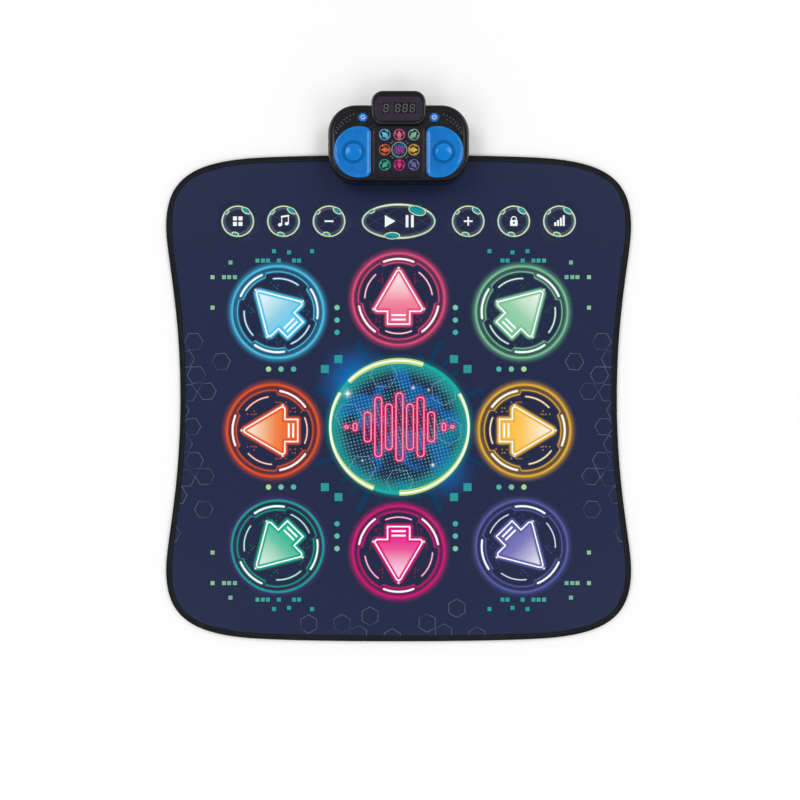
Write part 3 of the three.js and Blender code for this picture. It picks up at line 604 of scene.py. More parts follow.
def insideRing(points, ring):
    # a point is inside when a level line from it crosses the ring an odd number of times
    start, end = ring, np.roll(ring, -1, 0)
    x, y = points[:, :1], points[:, 1:]
    crosses = (start[:, 1] > y) != (end[:, 1] > y)
    rise = np.where(end[:, 1] == start[:, 1], 1, end[:, 1] - start[:, 1])
    where = start[:, 0] + (y - start[:, 1]) / rise * (end[:, 0] - start[:, 0])
    return (crosses & (x < where)).sum(1) % 2 == 1


def onSheet(points, outer, holes):
    # inside the outline and outside every hole
    kept = insideRing(points, outer)
    for hole in holes:
        kept &= ~insideRing(points, hole)
    return kept


def sheetShape(outer, holes, spacing, level):
    # a flat sheet with holes, in triangles of about one size; level gives each point its height
    across = np.arange(outer[:, 0].min(), outer[:, 0].max(), spacing)
    along = np.arange(outer[:, 1].min(), outer[:, 1].max(), spacing)
    grid = np.stack(np.meshgrid(across, along), -1).reshape(-1, 2)
    keep = onSheet(grid, outer, holes)
    edges, start = [], 0
    rings = [outer, *holes]
    for ring in rings:
        keep &= np.linalg.norm(grid[:, None] - ring[None], axis=-1).min(1) > spacing * 0.4
        numbers = np.arange(len(ring))
        edges += (np.column_stack([numbers, (numbers + 1) % len(ring)]) + start).tolist()
        start += len(ring)
    made = delaunay_2d_cdt(np.concatenate([*rings, grid[keep]]).tolist(), edges, [], 1, 0.001)
    points, faces = np.array(made[0]), np.array(made[2])
    kept = onSheet(points[faces].mean(1), outer, holes)
    return np.column_stack([points, level(points)]), faces[kept].tolist()


def ringArea(ring):
    # half the sum of the cross products of neighbouring points
    x, y = ring.T
    return abs(np.sum(x * np.roll(y, -1) - y * np.roll(x, -1))) / 2


# Print of the mat. Each step pad: which way its arrow points, the arrow's tones from tip to shaft, ring, dots
ground = (32, 41, 71)
stepPads = {
    "up_left": (135, [(228, 244, 253), (191, 227, 237), (139, 207, 226), (100, 201, 241)],
                (73, 191, 233), (6, 104, 116)),
    "up": (90, [(251, 228, 233), (245, 194, 201), (238, 137, 159), (234, 100, 135)],
           (225, 75, 124), (156, 22, 46)),
    "up_right": (45, [(234, 241, 234), (199, 228, 206), (154, 208, 172), (127, 199, 161)],
                 (120, 191, 151), (20, 92, 44)),
    "left": (180, [(253, 230, 212), (245, 188, 147), (239, 132, 74), (238, 98, 42)],
             (228, 83, 23), (190, 80, 14)),
    "right": (0, [(249, 238, 229), (253, 221, 164), (250, 197, 95), (252, 186, 55)],
              (228, 174, 46), (190, 128, 16)),
    "down_left": (225, [(212, 237, 225), (172, 218, 196), (100, 194, 162), (16, 180, 142)],
                  (0, 166, 134), (10, 106, 84)),
    "down": (270, [(252, 212, 233), (240, 165, 196), (232, 82, 152), (232, 20, 136)],
             (216, 4, 122), (146, 20, 60)),
    "down_right": (315, [(228, 228, 234), (177, 172, 213), (124, 122, 185), (97, 98, 170)],
                   (88, 91, 163), (60, 68, 138)),
}
controlPads = ("memory", "mode", "quieter", "start", "louder", "lock", "level")
shifts = {
    "up_left": (2.9, -0.8), "up": (0, 0.9), "up_right": (1.4, -0.8), "down_left": (2.7, 0), "down_right": (1.4, 0),
}
hazes = {"down_left": (84, 62, 156)}
flatness = 1.045  # round signs behind the step pads are printed a little wider than long


def printCentre(name):
    # the print of a pad lies a little off the middle of the pad itself
    x, y = planMiddle("step_pad_" + name)
    aside, up = shifts.get(name, (0, 0))
    return x + aside, y + up


def coated(f, colour, point):
    # the mat's coated cloth: a fine weave pressed through the print, faint creases, dull patches
    weave = f.noise(f.vector("MULTIPLY", point, (1, 1, 0)), 0.7, 1)
    rumple = f.noise(point, 70, 2)
    gloss = f.patches(point, 30, 4, 0.6, 0.42, 0.54)
    normal = f.bump(weave * 0.12 + rumple * 1.6, 1.0, 0.5)
    return f.surface(colour, gloss, normal, {"Specular IOR Level": 0.12})


def groundTone(f, point):
    # the mat's dark blue, mottled by a few tones
    mottle = f.noise(point, 3.5, 3, 0.7)
    return f.mix(f.spread(mottle, 0.35, 0.65), shaded(ground, 1, -3), shaded(ground, 1, 3))


def angularGap(angle, centre, half):
    # how far an angle, folded to 0..180 degrees, lies outside an arc
    return (abs(angle - math.radians(centre)) - math.radians(half)).most(0)


def arcLine(radius, gap, arcRadius):
    # distance to a round-ended arc from the polar distance and the angle beyond its ends
    off = radius - arcRadius
    beyond = gap * arcRadius
    return (off * off + beyond * beyond).root()


# Rings of the step pads: radii of the rings and arcs, and the angles of the arcs
padRings = {
    "outer": 86.3, "inner": 76.2, "jog": 7.2, "brightArc": 75.9, "brightCentres": (0, 122.3), "brightHalf": 21.6,
    "thinArc": 64.1, "glowEnd": 101, "reach": 102, "far": 5000,
}


def brightArcGap(f, plan):
    # the angle beyond the ends of the three white arcs, from the way that the arrow points
    angle = abs(f.math("ARCTAN2", plan.x, plan.y))
    return nearest(angularGap(angle, centre, padRings["brightHalf"]) for centre in padRings["brightCentres"])


def ringBand(f, colour, radius, brightGap, tone, haze):
    # tinted band of a pad's ring, and three white arcs in it, each in a dark channel with a little glow
    colour = f.mix(0.19, colour, haze)
    bright = arcLine(radius, brightGap, padRings["brightArc"])
    colour = f.mix((bright < 4.4) * 0.5, colour, (24, 40, 66))
    colour = f.mix(bright < 3.6, colour, (35, 42, 68))
    colour = f.mix(bright.glow(1.6, 4.5, 0.8, 1.2), colour, tone)
    return f.mix(bright < 1.75, colour, (252, 255, 255))


def drawPadRings(f, colour, plan):
    # the pads stand apart, so one ring is drawn about the middle of whichever pad is near
    far, reach, outer = padRings["far"], padRings["reach"], padRings["outer"]
    centre, turn, tone = (far, 0, 0), 0, ground
    for name, (way, _, padTone, _) in stepPads.items():
        x, y = printCentre(name)
        here = plan.range(x, y) < reach
        centre = f.vector("MULTIPLY_ADD", here, (x - far, y, 0), centre)
        turn = f.math("MULTIPLY_ADD", here, math.radians(90 - way), turn)
        tone = f.mix(here, tone, padTone)
    haze = tone
    for name, ownHaze in hazes.items():
        haze = f.mix(plan.range(*printCentre(name)) < reach, haze, ownHaze)
    own = Plan(f, f.turned(f.vector("SUBTRACT", plan.point, centre), turn))
    radius = own.range()
    brightGap = brightArcGap(f, own)
    colour = f.mix(radius.glow(outer + 0.5, padRings["glowEnd"], 0.66, 2.5) * (radius > outer), colour, haze)
    colour = f.mix(radius < outer, colour, ringBand(f, ground, radius, brightGap, tone, haze))
    colour = f.mix(radius.near(outer, 2.6) * 0.45, colour, tone)
    return f.mix(radius.near(outer, 1.3), colour, tone)


# Controls: six round ones and a long one in the middle; bubbles as (x, y, half width, half length, turn)
control = {
    "radius": 29.4, "longHalf": (68.2, 31.9), "inside": -2.4, "nearRound": 45, "nearLong": (80, 42),
    "linePitch": 11, "lineHalf": 0.35,
    "roundBubbles": ((15.5, 20.8, 9.6, 5.9, -35), (-20.9, 17.7, 5.6, 3.7, 38), (-4.8, -25.4, 7.4, 4.5, -12)),
    "longBubbles": ((35, 20, 17, 9.3, -17), (-51.2, 18.4, 7, 4, 18), (-12.2, -27.3, 15, 7, 0)),
}


def drawBubbles(f, colour, plan, bubbles):
    # small teal bubbles with bright rims, which lie across the ring of a control
    for bubble in bubbles:
        gap = plan.oval(*bubble)
        colour = f.within(colour, gap, (0, (196, 220, 142)), (-0.9, (236, 242, 222)), (-1.7, (24, 152, 160)))
    return colour


def controlRing(f, colour, gap, side):
    # gap is the distance outside the ring's middle line, side is 0 above and below and 1 at both sides
    colour = f.mix(gap.glow(1.5, 5, 0.12), colour, (120, 150, 140))
    colour = f.mix(gap < 1.6, colour, f.mix(side, (218, 242, 136), (192, 206, 188)))
    colour = f.mix(gap < 0.8, colour, (240, 248, 214))
    colour = f.mix((gap < -0.7) * side, colour, (70, 178, 164))
    return f.mix(gap < control["inside"], colour, (32, 39, 64))


def controlGround(f, colour, gap, plan):
    # dark inside with a grey haze towards the rim and faint crossing lines
    inside, half = control["inside"], control["lineHalf"]
    haze = f.spread(gap, -9, -2) * 0.5
    colour = f.mix(haze * (gap < inside), colour, (104, 116, 136))
    folded = lambda along: abs(f.math("PINGPONG", along, control["linePitch"]))
    lines = folded(plan.x * 0.5 + plan.y * 0.87) < half
    lines = lines.most(folded(plan.x * 0.5 - plan.y * 0.87) < half)
    return f.mix(lines * (gap < inside) * 0.16, colour, (150, 160, 178))


def drawRoundControls(f, colour, plan):
    # three on each side, drawn once about the middle of whichever is near
    first, y = planMiddle("control_pad_louder")
    pitch = planMiddle("control_pad_lock")[0] - first
    start = first - pitch / 2
    size = control["radius"]
    side = f.math("SIGN", plan.x)
    local = (f.math("MODULO", abs(plan.x) - start, pitch) - pitch / 2) * side
    near = (abs(plan.x) > start) * (abs(plan.x) < start + 3 * pitch) * abs(plan.y - y).near(0, control["nearRound"])
    flat = plan.merged(local, (plan.y - y) * flatness)
    drawn = controlRing(f, colour, flat.range() - size, abs(flat.x) / size)
    drawn = controlGround(f, drawn, flat.range() - size, flat)
    drawn = drawBubbles(f, drawn, flat, control["roundBubbles"])
    return f.mix(near, colour, drawn)


def drawLongControl(f, colour, plan):
    # the oval one in the middle
    halfX, halfY = control["longHalf"]
    gap = plan.oval(0, 0, halfX, halfY)
    drawn = controlGround(f, controlRing(f, colour, gap, abs(plan.x) / halfX), gap, plan)
    drawn = drawBubbles(f, drawn, plan, control["longBubbles"])
    reachX, reachY = control["nearLong"]
    near = abs(plan.x).near(0, reachX) * abs(plan.y).near(0, reachY)
    return f.mix(near, colour, drawn)


# Faint hexagons: their middles on the right, mirrored to the left, and along the front edge
hexagons = {
    "axis": -1.4, "side": 15.2, "tilt": 3, "lineHalf": 0.6,
    "flanks": (
        (386, 107), (402, 74), (381, 44), (361, 13), (397, 10), (412, -23), (390, -54), (406, -87), (385, -118),
        (365, -148), (401, -151), (416, -184), (367, -210), (429, -256), (334, 69),
    ),
    "front": (
        (-170, -427), (-107, -426), (-54, -412), (-76, -447), (-12, -453), (54, -425), (85, -444), (110, -397),
        (148, -450),
    ),
}


def hexagonGap(f, plan, x, y, upright=False):
    # distance from the middle of a hexagon measured to its sides, folded into one sixth
    away = f.vector("ABSOLUTE", f.vector("SUBTRACT", plan.point, (x, y, 0)))
    level, slant = ((1, 0, 0), (0.5, 0.866, 0)) if upright else ((0, 1, 0), (0.866, 0.5, 0))
    return f.vector("DOT_PRODUCT", away, level).most(f.vector("DOT_PRODUCT", away, slant))


def hexagonLines(f, plan):
    # the distance from each outline in turn
    side, tilt = hexagons["side"], hexagons["tilt"]
    flanks = plan.at(hexagons["axis"], 0).folded().at(0, 0, -tilt)
    cosine, sine = math.cos(math.radians(tilt)), math.sin(math.radians(tilt))
    for x, y in hexagons["flanks"]:
        yield abs(hexagonGap(f, flanks, x * cosine - y * sine, x * sine + y * cosine) - side)
    for x, y in hexagons["front"]:
        yield abs(hexagonGap(f, plan, x, y, True) - side)


def drawHexagons(f, colour, plan):
    # thin outlines that come and go with a noise
    line = nearest(hexagonLines(f, plan))
    strength = f.spread(f.noise(plan.point, 38), 0.3, 0.6, 0.1, 0.42)
    return f.mix((line < hexagons["lineHalf"]) * strength, colour, (134, 136, 164))


# Small squares by their distance from both axes, in rows; large squares and round dots as (x, y)
squares = {
    "axes": (4.0, -60.3), "half": 3.65, "seam": 0.4, "seamShare": 0.3,
    "rows": {
        338.3: (239.6, 167.7), 335.9: (211.2,), 316.8: (321.8,),
        320.5: (270.9, 260.5, 250.9, 230.5, 201.8, 192.3),
        289.2: (355.8, 334.1, 324.4, 313.5), 231.5: (355.8,),
    },
    "largeAxes": (-4.6, -56.5), "large": ((109.2, 130.4), (134.8, 111.7)), "largeHalf": 7.55,
    "largeTone": (43, 152, 157), "dotRadius": 5.0,
    "dots": {
        (111.9, 227.9): (126, 196, 166), (111.9, 204.1): (92, 184, 168), (111.9, 180.9): (60, 170, 168),
        (241.4, 111.5): (164, 212, 150), (217.7, 111.5): (118, 192, 166), (194.1, 111.5): (78, 178, 168),
    },
}


def stripe(value, place):
    # a band across a value, with a fainter seam along its middle
    return value.near(place, squares["half"]) - value.near(place, squares["seam"]) * squares["seamShare"]


def drawSquares(f, colour, plan):
    # the same in all four quarters: small squares in rows, then the large ones and the dots
    folded = plan.at(*squares["axes"]).mirrored()
    tone = f.mix(f.spread(folded.x, 240, 318), (40, 172, 166), (122, 194, 160))
    tone = f.mix(f.spread(folded.x, 318, 356), tone, (160, 212, 152))
    small = together(
        together(stripe(folded.x, place) for place in places) * stripe(folded.y, level)
        for level, places in squares["rows"].items())
    colour = f.mix(small * 0.9, colour, tone)
    folded = plan.at(*squares["largeAxes"]).mirrored()
    half = squares["largeHalf"]
    large = together(folded.x.near(x, half) * folded.y.near(y, half) for x, y in squares["large"])
    colour = f.mix(large * 0.95, colour, squares["largeTone"])
    for (x, y), tone in squares["dots"].items():
        colour = f.mix(folded.range(x, y) < squares["dotRadius"], colour, tone)
    return colour


# The big disc. Rays: angle, length, half width; glows: x, y, reach, strength; arcs: middle and half angle;
# bars: half width, corner radius, then place and half length of each; sparkles: x, y, reach
disc = {
    "centre": (1.5, -54.2), "radius": 131, "grid": 6.4, "hexagonSide": 22,
    "rays": ((25.5, 176, 4.2), (65, 186, 5.4), (45, 156, 3.8), (55.5, 164, 3.6), (75, 154, 3.2), (13, 146, 2.4)),
    "glows": ((-84, 84, 80, 0.95), (88, -84, 62, 0.5)),
    "hexagons": ((-96, 20), (-70, -78), (94, -8), (84, 66), (0, -104), (-30, 98)),
    "arcs": ((103.5, 33.5), (198.5, 49.5), (-30, 60)),
    "bars": (6.4, 6, ((0, 64), (20, 43), (40, 56), (60, 28))), "barEnds": (3.4, 3.3, ((84, 7), (100, 2.5))),
    "sparkles": ((-98, 63, 15), (26, 74, 7), (55, 70, 5), (63, -72, 8), (-70, -64, 5)),
}


def discRays(corner):
    # dark rays outside the disc, each a strip turned by its own angle
    for way, end, half in disc["rays"]:
        ray = corner.at(0, 0, way)
        yield ray.y.near(0, half) * ray.x.near(0, end)


def discArcs(f, flat, radius):
    # 1 within the half angle of each bright arc
    for way, half in disc["arcs"]:
        aim = (math.cos(math.radians(way)), math.sin(math.radians(way)), 0)
        yield f.vector("DOT_PRODUCT", flat.point, aim) > radius * math.cos(math.radians(half))


def discBars(hub):
    # distance from the outline of each sound bar, mirrored to both sides
    folded = hub.folded()
    for wide, soft, bars in (disc["bars"], disc["barEnds"]):
        for x, half in bars:
            yield abs(folded.box(x, 0, wide, half, soft))


def discInside(f, hub, radius):
    # clouds, halftone dots, a bright rim and faint hexagons under a row of outlined sound bars
    inside = groundTone(f, hub.point)
    cloud = f.noise(hub.point, 62, 2)
    inside = f.mix(f.spread(cloud, 0.47, 0.56) * 0.85, inside, (4, 92, 168))
    inside = f.mix(f.spread(cloud, 0.62, 0.68) * 0.7, inside, (0, 118, 128))
    inside = f.mix(f.spread(f.noise(hub.point, 40, 1), 0.55, 0.7) * 0.65, inside, (20, 24, 44))
    tilted = hub.at(0, 0, 14)
    across, along = (f.math("PINGPONG", value, disc["grid"] / 2) for value in (tilted.x, tilted.y))
    size = f.spread(f.noise(hub.point, 46), 0.3, 0.7, 1.0, 1.9)
    dots = (across * across + along * along).root() < size
    inside = f.mix(dots * 0.8, inside, (84, 178, 190))
    inside = f.mix(f.spread(radius, 96, disc["radius"]) * 0.85, inside, (22, 160, 156))
    for x, y in disc["hexagons"]:
        line = abs(hexagonGap(f, hub, x, y, x > 0) - disc["hexagonSide"]) < 0.5
        inside = f.mix(line * 0.4, inside, (170, 205, 215))
    gap = nearest(discBars(hub))
    inside = f.mix(gap.glow(1.5, 7, 0.85, 1.6), inside, (190, 0, 84))
    return f.within(inside, gap, (2.2, (222, 16, 102)), (0.85, (255, 170, 198)))


def drawDisc(f, colour, hub):
    # rays and glows round it, what is inside it, its broken bright ring and the glints
    size = disc["radius"]
    flat = hub.merged(hub.x, hub.y * flatness)
    radius = flat.range()
    rays = together(discRays(flat.mirrored()))
    colour = f.mix(rays * 0.8, colour, (2, 56, 92))
    for x, y, reach, share in disc["glows"]:
        colour = f.mix(hub.range(x, y).glow(12, reach, share, 1.6), colour, (0, 112, 196))
    colour = f.mix(radius.glow(size, size + 16, 0.6) * (radius > size), colour, (24, 150, 150))
    inside = discInside(f, hub, radius)
    colour = f.mix(radius < size, colour, inside)
    colour = f.mix(radius.near(size, 3.2), colour, (16, 172, 162))
    bright = together(discArcs(f, flat, radius))
    colour = f.mix(bright * radius.near(size - 0.6, 2.2 + abs(flat.y) * 0.026), colour, (184, 214, 116))
    colour = f.mix(bright * radius.near(size, 1.9), colour, (250, 252, 240))
    for x, y, reach in disc["sparkles"]:
        colour = f.mix(hub.range(x, y).glow(0, reach, 0.6, 2), colour, (205, 235, 240))
        colour = f.mix(hub.star(x, y, reach), colour, (255, 255, 255))
    return colour


def coverFinish():
    # everything printed between the pads, drawn one thing over another
    f = Finish("cover_print")
    plan = Plan(f, f.place())
    colour = groundTone(f, plan.point)
    colour = drawHexagons(f, colour, plan)
    colour = drawDisc(f, colour, plan.at(*disc["centre"]))
    colour = drawSquares(f, colour, plan)
    colour = drawPadRings(f, colour, plan)
    colour = drawRoundControls(f, colour, plan)
    colour = drawLongControl(f, colour, plan.at(0, planMiddle("control_pad_louder")[1]))
    return coated(f, colour, plan.point)


# What a step pad shows inside its ring, for an arrow that points along +y; places as (x, y)
padPrint = {
    "tipY": 49.2, "cornerX": 39.6, "cornerY": -18.1, "soft": 4.9, "shaft": (0, -29.65, 20.9, 17.65),
    "outline": 3.9, "stops": (0.08, 0.42, 0.7, 1), "bars": (-30.4, -38.8), "barHalf": (13.6, 1.8), "barSoft": 0.6,
    "dotRadius": 1.5, "stars": ((0, 58.8, 7), (48, -19, 6)),
    "dots": (
        (30.7, 47.5), (30.4, 40.3), (30.3, 35.4), (31, 31.4), (36.6, 35), (53.3, -6.3), (53.3, -11), (53, -15.5),
        (53.2, -24.9), (36, -33.4), (42.1, -37.5), (42.7, -42.3), (35.5, -42.5), (34.6, -53.6),
    ),
}


def arrowDistance(plan):
    # signed distance to an arrow along +y: a round-cornered triangle joined to a square shaft
    tipY, cornerX, cornerY = (padPrint[key] for key in ("tipY", "cornerX", "cornerY"))
    folded = plan.folded()
    edge = folded.stroke(0, tipY, cornerX, cornerY).least(folded.stroke(0, cornerY, cornerX, cornerY))
    slope = math.hypot(cornerX, tipY - cornerY)
    beyond = (folded.x * ((tipY - cornerY) / slope) + (plan.y - tipY) * (cornerX / slope)).most(cornerY - plan.y)
    head = edge * (1 - 2 * (beyond < 0)) - padPrint["soft"]
    return head.least(folded.box(*padPrint["shaft"]))


def drawPadGround(f, plan, tone, haze):
    # the dark middle, the band of the ring outside it, and the thin arcs round the arrow
    base = groundTone(f, plan.point)
    colour = f.mix(0.3, base, (30, 36, 64))
    radius = plan.range()
    brightGap = brightArcGap(f, plan)
    inner = plan.at(0, -1.1)
    way = f.math("ARCTAN2", inner.x, inner.y)
    thinGap = angularGap(abs(way + 0.05), 62, 22).least(angularGap(abs(way), 180, 22))
    line = padRings["inner"] - padRings["jog"] + padRings["jog"] * f.spread(brightGap, 0.05, 0.12)
    colour = f.mix(radius > line, colour, ringBand(f, base, radius, brightGap, tone, haze))
    colour = f.mix((line - radius).glow(0, 4.5, 0.3, 1.5) * (radius < line), colour, tone)
    colour = f.mix(abs(radius - line) < 1.1, colour, shaded(tone, 0.93))
    thin = arcLine(inner.range(), thinGap, padRings["thinArc"])
    colour = f.mix(thin.glow(0.8, 3.2, 0.6, 1.4), colour, tone)
    return f.mix(thin < 1.0, colour, shaded(tone, 0.2, 204))


def padFinish(name, x, y, way, fills, tone, dotTone):
    # a step pad's print: ring and arcs, dots, the graded arrow with two bars at its tail, and glints
    f = Finish("print_" + name)
    point = f.place()
    plan = Plan(f, point).at(x, y, way - 90)
    colour = drawPadGround(f, plan, tone, hazes.get(name, tone))
    folded = plan.folded()
    spots = nearest(folded.range(*dot) for dot in padPrint["dots"])
    colour = f.mix((spots < padPrint["dotRadius"]) * 0.85, colour, dotTone)
    arrow = arrowDistance(plan)
    share = f.spread(plan.y, -40, 45, 0, 1, "LINEAR")
    fill = f.output("ValToRGB", "Color", {"stops": list(zip(padPrint["stops"], fills[::-1]))}, {0: share})
    colour = f.mix(arrow.glow(3.8, 8.8, 0.7, 1.8), colour, tone)
    colour = f.mix(arrow < padPrint["outline"], colour, tone)
    colour = f.mix(arrow.fade(-6.8, -3.2), colour, fill)
    bars = nearest(folded.box(0, place, *padPrint["barHalf"], padPrint["barSoft"]) for place in padPrint["bars"])
    colour = f.mix(bars.glow(0, 2, 0.8, 1.4), colour, fills[3])
    colour = f.mix((abs(arrow) < 1.3).most(bars < -0.1), colour, (255, 255, 255))
    for starX, starY, reach in padPrint["stars"]:
        colour = f.mix(folded.range(starX, starY).glow(0, 3.4, 0.85, 1.1), colour, (244, 240, 244))
        colour = f.mix(folded.star(starX, starY, reach) * 0.7, colour, (255, 255, 255))
    return coated(f, colour, point)


def signDistance(plan, name):
    # a plain white sign for each control: distance to it, below 0 inside
    if name == "memory":
        return plan.mirrored().box(5.2, 5.2, 3.8, 3.8, 1)
    if name == "mode":
        heads = plan.oval(-6.3, -6.6, 3.9, 3.1, 20).least(plan.oval(6.3, -4.6, 3.9, 3.1, 20))
        stems = plan.box(-3.1, 1.5, 0.9, 8).least(plan.box(9.5, 3.5, 0.9, 8))
        return heads.least(stems).least(plan.stroke(-3.1, 8.4, 9.5, 10.4) - 1.7)
    if name in ("quieter", "louder"):
        sign = plan.box(0, 0, 8.5, 1.5, 0.6)
        return sign if name == "quieter" else sign.least(plan.box(0, 0, 1.5, 8.5, 0.6))
    if name == "start":
        play = (abs(plan.y) * 0.866 + (plan.x + 6) * 0.5).most(-26 - plan.x)
        bars = abs(plan.x - 16).least(abs(plan.x - 26)) - 2.6
        return play.least(bars.most(abs(plan.y) - 11.5))
    if name == "lock":
        body = plan.box(0, -3.4, 7, 5.6, 1.2)
        hoop = (abs(plan.range(0, 4) - 4.6) - 1).most(2 - plan.y)
        return body.least(hoop).most(2 - plan.range(0, -3.2))
    bars = ((-8, -5.5, 3.5), (-2.7, -3.5, 5.5), (2.7, -1.2, 7.8), (8, 1, 10))
    return nearest(plan.box(x, y, 1.9, half, 0.4) for x, y, half in bars)


def controlFinish(name):
    # a control pad's print: its ground, bubbles and white sign
    f = Finish("print_" + name)
    point = f.place()
    plan = Plan(f, point).at(*planMiddle("control_pad_" + name))
    long = name == "start"
    flat = plan if long else plan.merged(plan.x, plan.y * flatness)
    gap = plan.oval(0, 0, *control["longHalf"]) if long else flat.range() - control["radius"]
    colour = f.mix(0.5, groundTone(f, plan.point), (30, 36, 62))
    colour = controlGround(f, colour, gap, plan)
    colour = drawBubbles(f, colour, flat, control["longBubbles" if long else "roundBubbles"])
    sign = signDistance(plan, name)
    colour = f.mix(sign.glow(0, 1.6, 0.5, 1.2), colour, (20, 26, 44))
    return coated(f, f.mix(sign < 0, colour, (242, 246, 250)), point)


# Mat: sheets, binding and pads
mat = {
    "coverInset": 2.4, "coverThick": 0.7, "holeGap": 0.35, "coverStep": 16, "tapeThick": 0.6, "tapeWidth": 10.5,
    "stitchPitch": 4.2, "stitchInset": 8.3, "baseInset": 1.6, "baseStep": 40, "dotDepth": 0.55, "dotPitch": 14,
    "dotRadius": 2.8, "dotMargin": 16, "plateMargin": 3.5, "padCrown": 0.25, "padSoft": 0.8,
}
padNodes = ["step_pad_" + name for name in stepPads] + ["control_pad_" + name for name in controlPads]


def padRing(node, grow=0.0):
    # the outline of a pad: a circle, or an ellipse for the start pad
    low, high = span(node)
    return circle(1, 96) * ((high - low)[:2] / 2 + grow) + middle(node)[:2]


def makeCover():
    # a sheet with a hole for each pad; its level rises and falls with a sine of x times a cosine of y
    top = levels("top_cover")[1]
    outer = matRing(mat["coverInset"])
    holes = [padRing(node, mat["holeGap"]) for node in padNodes]
    waves = lambda points: top - 0.15 + 0.12 * np.sin(points[:, 0] / 47) * np.cos(points[:, 1] / 39)
    piece = rawObject("printed_cover", sheetShape(outer, holes, mat["coverStep"], waves))
    thicken(piece, mat["coverThick"], -1)
    finished(piece, coverFinish(), slot="cover_film", stands=["top_cover"])
    area = (ringArea(outer) - sum(ringArea(hole) for hole in holes)) * mm * mm


def makeBinding():
    # a folded tape round the edge, and a line of stitches along its inner side
    top = levels("edge_binding")[1]
    thick, width = mat["tapeThick"], mat["tapeWidth"]
    profile = [*turnOver((width - 0.6, 0), (width, 0.3), 2, False)[::-1], (width - 0.2, thick), (2.6, thick)]
    profile += [(1.25, thick + 0.8), (1.25, top - thick - 0.5), (width - 0.1, top - thick)]
    profile += turnOver((width, top - 0.35), (width - 0.5, top), 3)
    profile += [(width * 0.6, top + 0.04), (3.2, top)] + turnOver((0, top - 2.4), (3.0, top), 6)[::-1][1:]
    profile += turnOver((0, 2.0), (2.6, 0), 6)
    tape = makePiece("binding_tape", sweep(matRing(), profile), tapeFinish(), slot="binding_tape",
                     stands=["edge_binding"], bend=45)
    points, turns = evenly(matRing(mat["stitchInset"]), mat["stitchPitch"])
    half = mat["stitchPitch"] * 0.36
    rows = [(-half, 0.1, -0.15), (-half * 0.6, 0.3, 0.1), (half * 0.6, 0.3, 0.1), (half, 0.1, -0.15)]
    rings = [np.column_stack([np.full(6, x), circle(size, 6) + (0, rise)]) for x, size, rise in rows]
    stitch = np.concatenate(rings), gridFaces(4, 6) + [[5, 4, 3, 2, 1, 0], [18, 19, 20, 21, 22, 23]]
    places = flatPlaces(points, top - 0.02)
    makePiece("binding_stitches", copies(stitch, places, turns), threadFinish(), slot="binding_tape")
    return tape


def tapeFinish():
    # a twill tape: fine slanting ribs, a little fluff and dust
    f = Finish("twill_tape")
    point = f.place()
    plan = Plan(f, point)
    ribs = f.math("SINE", (plan.x + plan.y) * 4.2)
    fluff = f.noise(point, 1.4, 3, 0.7)
    tone = f.mix(f.patches(point, 25, 3), (23, 23, 27), (30, 30, 34))
    tone = f.mix(f.spread(ribs, -1, 1) * 0.3, tone, (16, 16, 19))
    return f.surface(tone, 0.82 + fluff * 0.1, f.bump(ribs * 0.3 + fluff, 0.12), {"Specular IOR Level": 0.15})


def threadFinish():
    # grey thread with a fine twist
    f = Finish("sewing_thread")
    twist = f.noise(f.place(), 0.35, 2)
    return f.surface(f.mix(twist, (30, 30, 35), (44, 44, 50)), 0.6, f.bump(twist, 0.08))


def makeBase():
    # the rubber sheet, and rows of grip dots on it except over the clamp plate
    low, high = levels("anti_slip_base")
    outer = matRing(mat["baseInset"])
    depth, pitch, size = mat["dotDepth"], mat["dotPitch"], mat["dotRadius"]
    under = lambda points: np.full(len(points), low + depth)
    piece = rawObject("grip_base", sheetShape(outer, [], mat["baseStep"], under))
    thicken(piece, high - low - depth, 1)
    finished(piece, finishes["rubber"], slot="base_rubber", stands=["anti_slip_base"])
    columns, rows = np.arange(-33, 34), np.arange(-40, 41)
    x, y = np.meshgrid(columns * pitch, rows * pitch * 0.866)
    x = x + (rows % 2)[:, None] * pitch / 2
    spots = np.column_stack([x.ravel(), y.ravel()])
    plateLow, plateHigh = span("clamp_plate")
    reach = (plateHigh - plateLow)[:2] / 2 + mat["plateMargin"]
    overPlate = (np.abs(spots - middle("clamp_plate")[:2]) < reach).all(1)
    spots = spots[insideRing(spots, matRing(mat["dotMargin"])) & ~overPlate]
    dot = copies(lathe([(size, 0.62), (size, 0.25), (size * 0.75, 0.0)], 8), flatPlaces(spots, low))
    dots = makePiece("grip_dots", dot, grained("grip_dot", (44, 45, 48), 0.7, 0.6, 0.05), slot="base_rubber")


def makePad(node, finish):
    # a soft-edged disc with a slight crown, in rings that shrink towards its middle
    low, high = span(node)
    halfX, halfY = (high - low)[:2] / 2
    soft, crown = mat["padSoft"], mat["padCrown"]
    rim = turnOver((0, low[2] + soft), (soft, low[2]), 3)[::-1]
    rim += turnOver((0, high[2] - crown - soft), (soft, high[2] - crown), 4)
    rows = [(halfX * 0.5, low[2]), (halfX - soft * 2, low[2])] + [(halfX - inset, level) for inset, level in rim]
    rows += [(halfX * share, high[2] - crown * share**4) for share in np.linspace(0.95, 0.04, 14)]
    ring = lambda size: circle(size, 72) * (1, halfY / halfX) + middle(node)[:2]
    shape = loft(ringStack(ring, rows))
    piece = makePiece("printed_" + node, shape, finish, body=node, slot="cover_film", stands=[node])


binding = makeBinding()
makeCover()
makeBase()
for name, look in stepPads.items():
    makePad("step_pad_" + name, padFinish(name, *printCentre(name), *look))
for name in controlPads:
    makePad("control_pad_" + name, controlFinish(name))
print("Mat made")


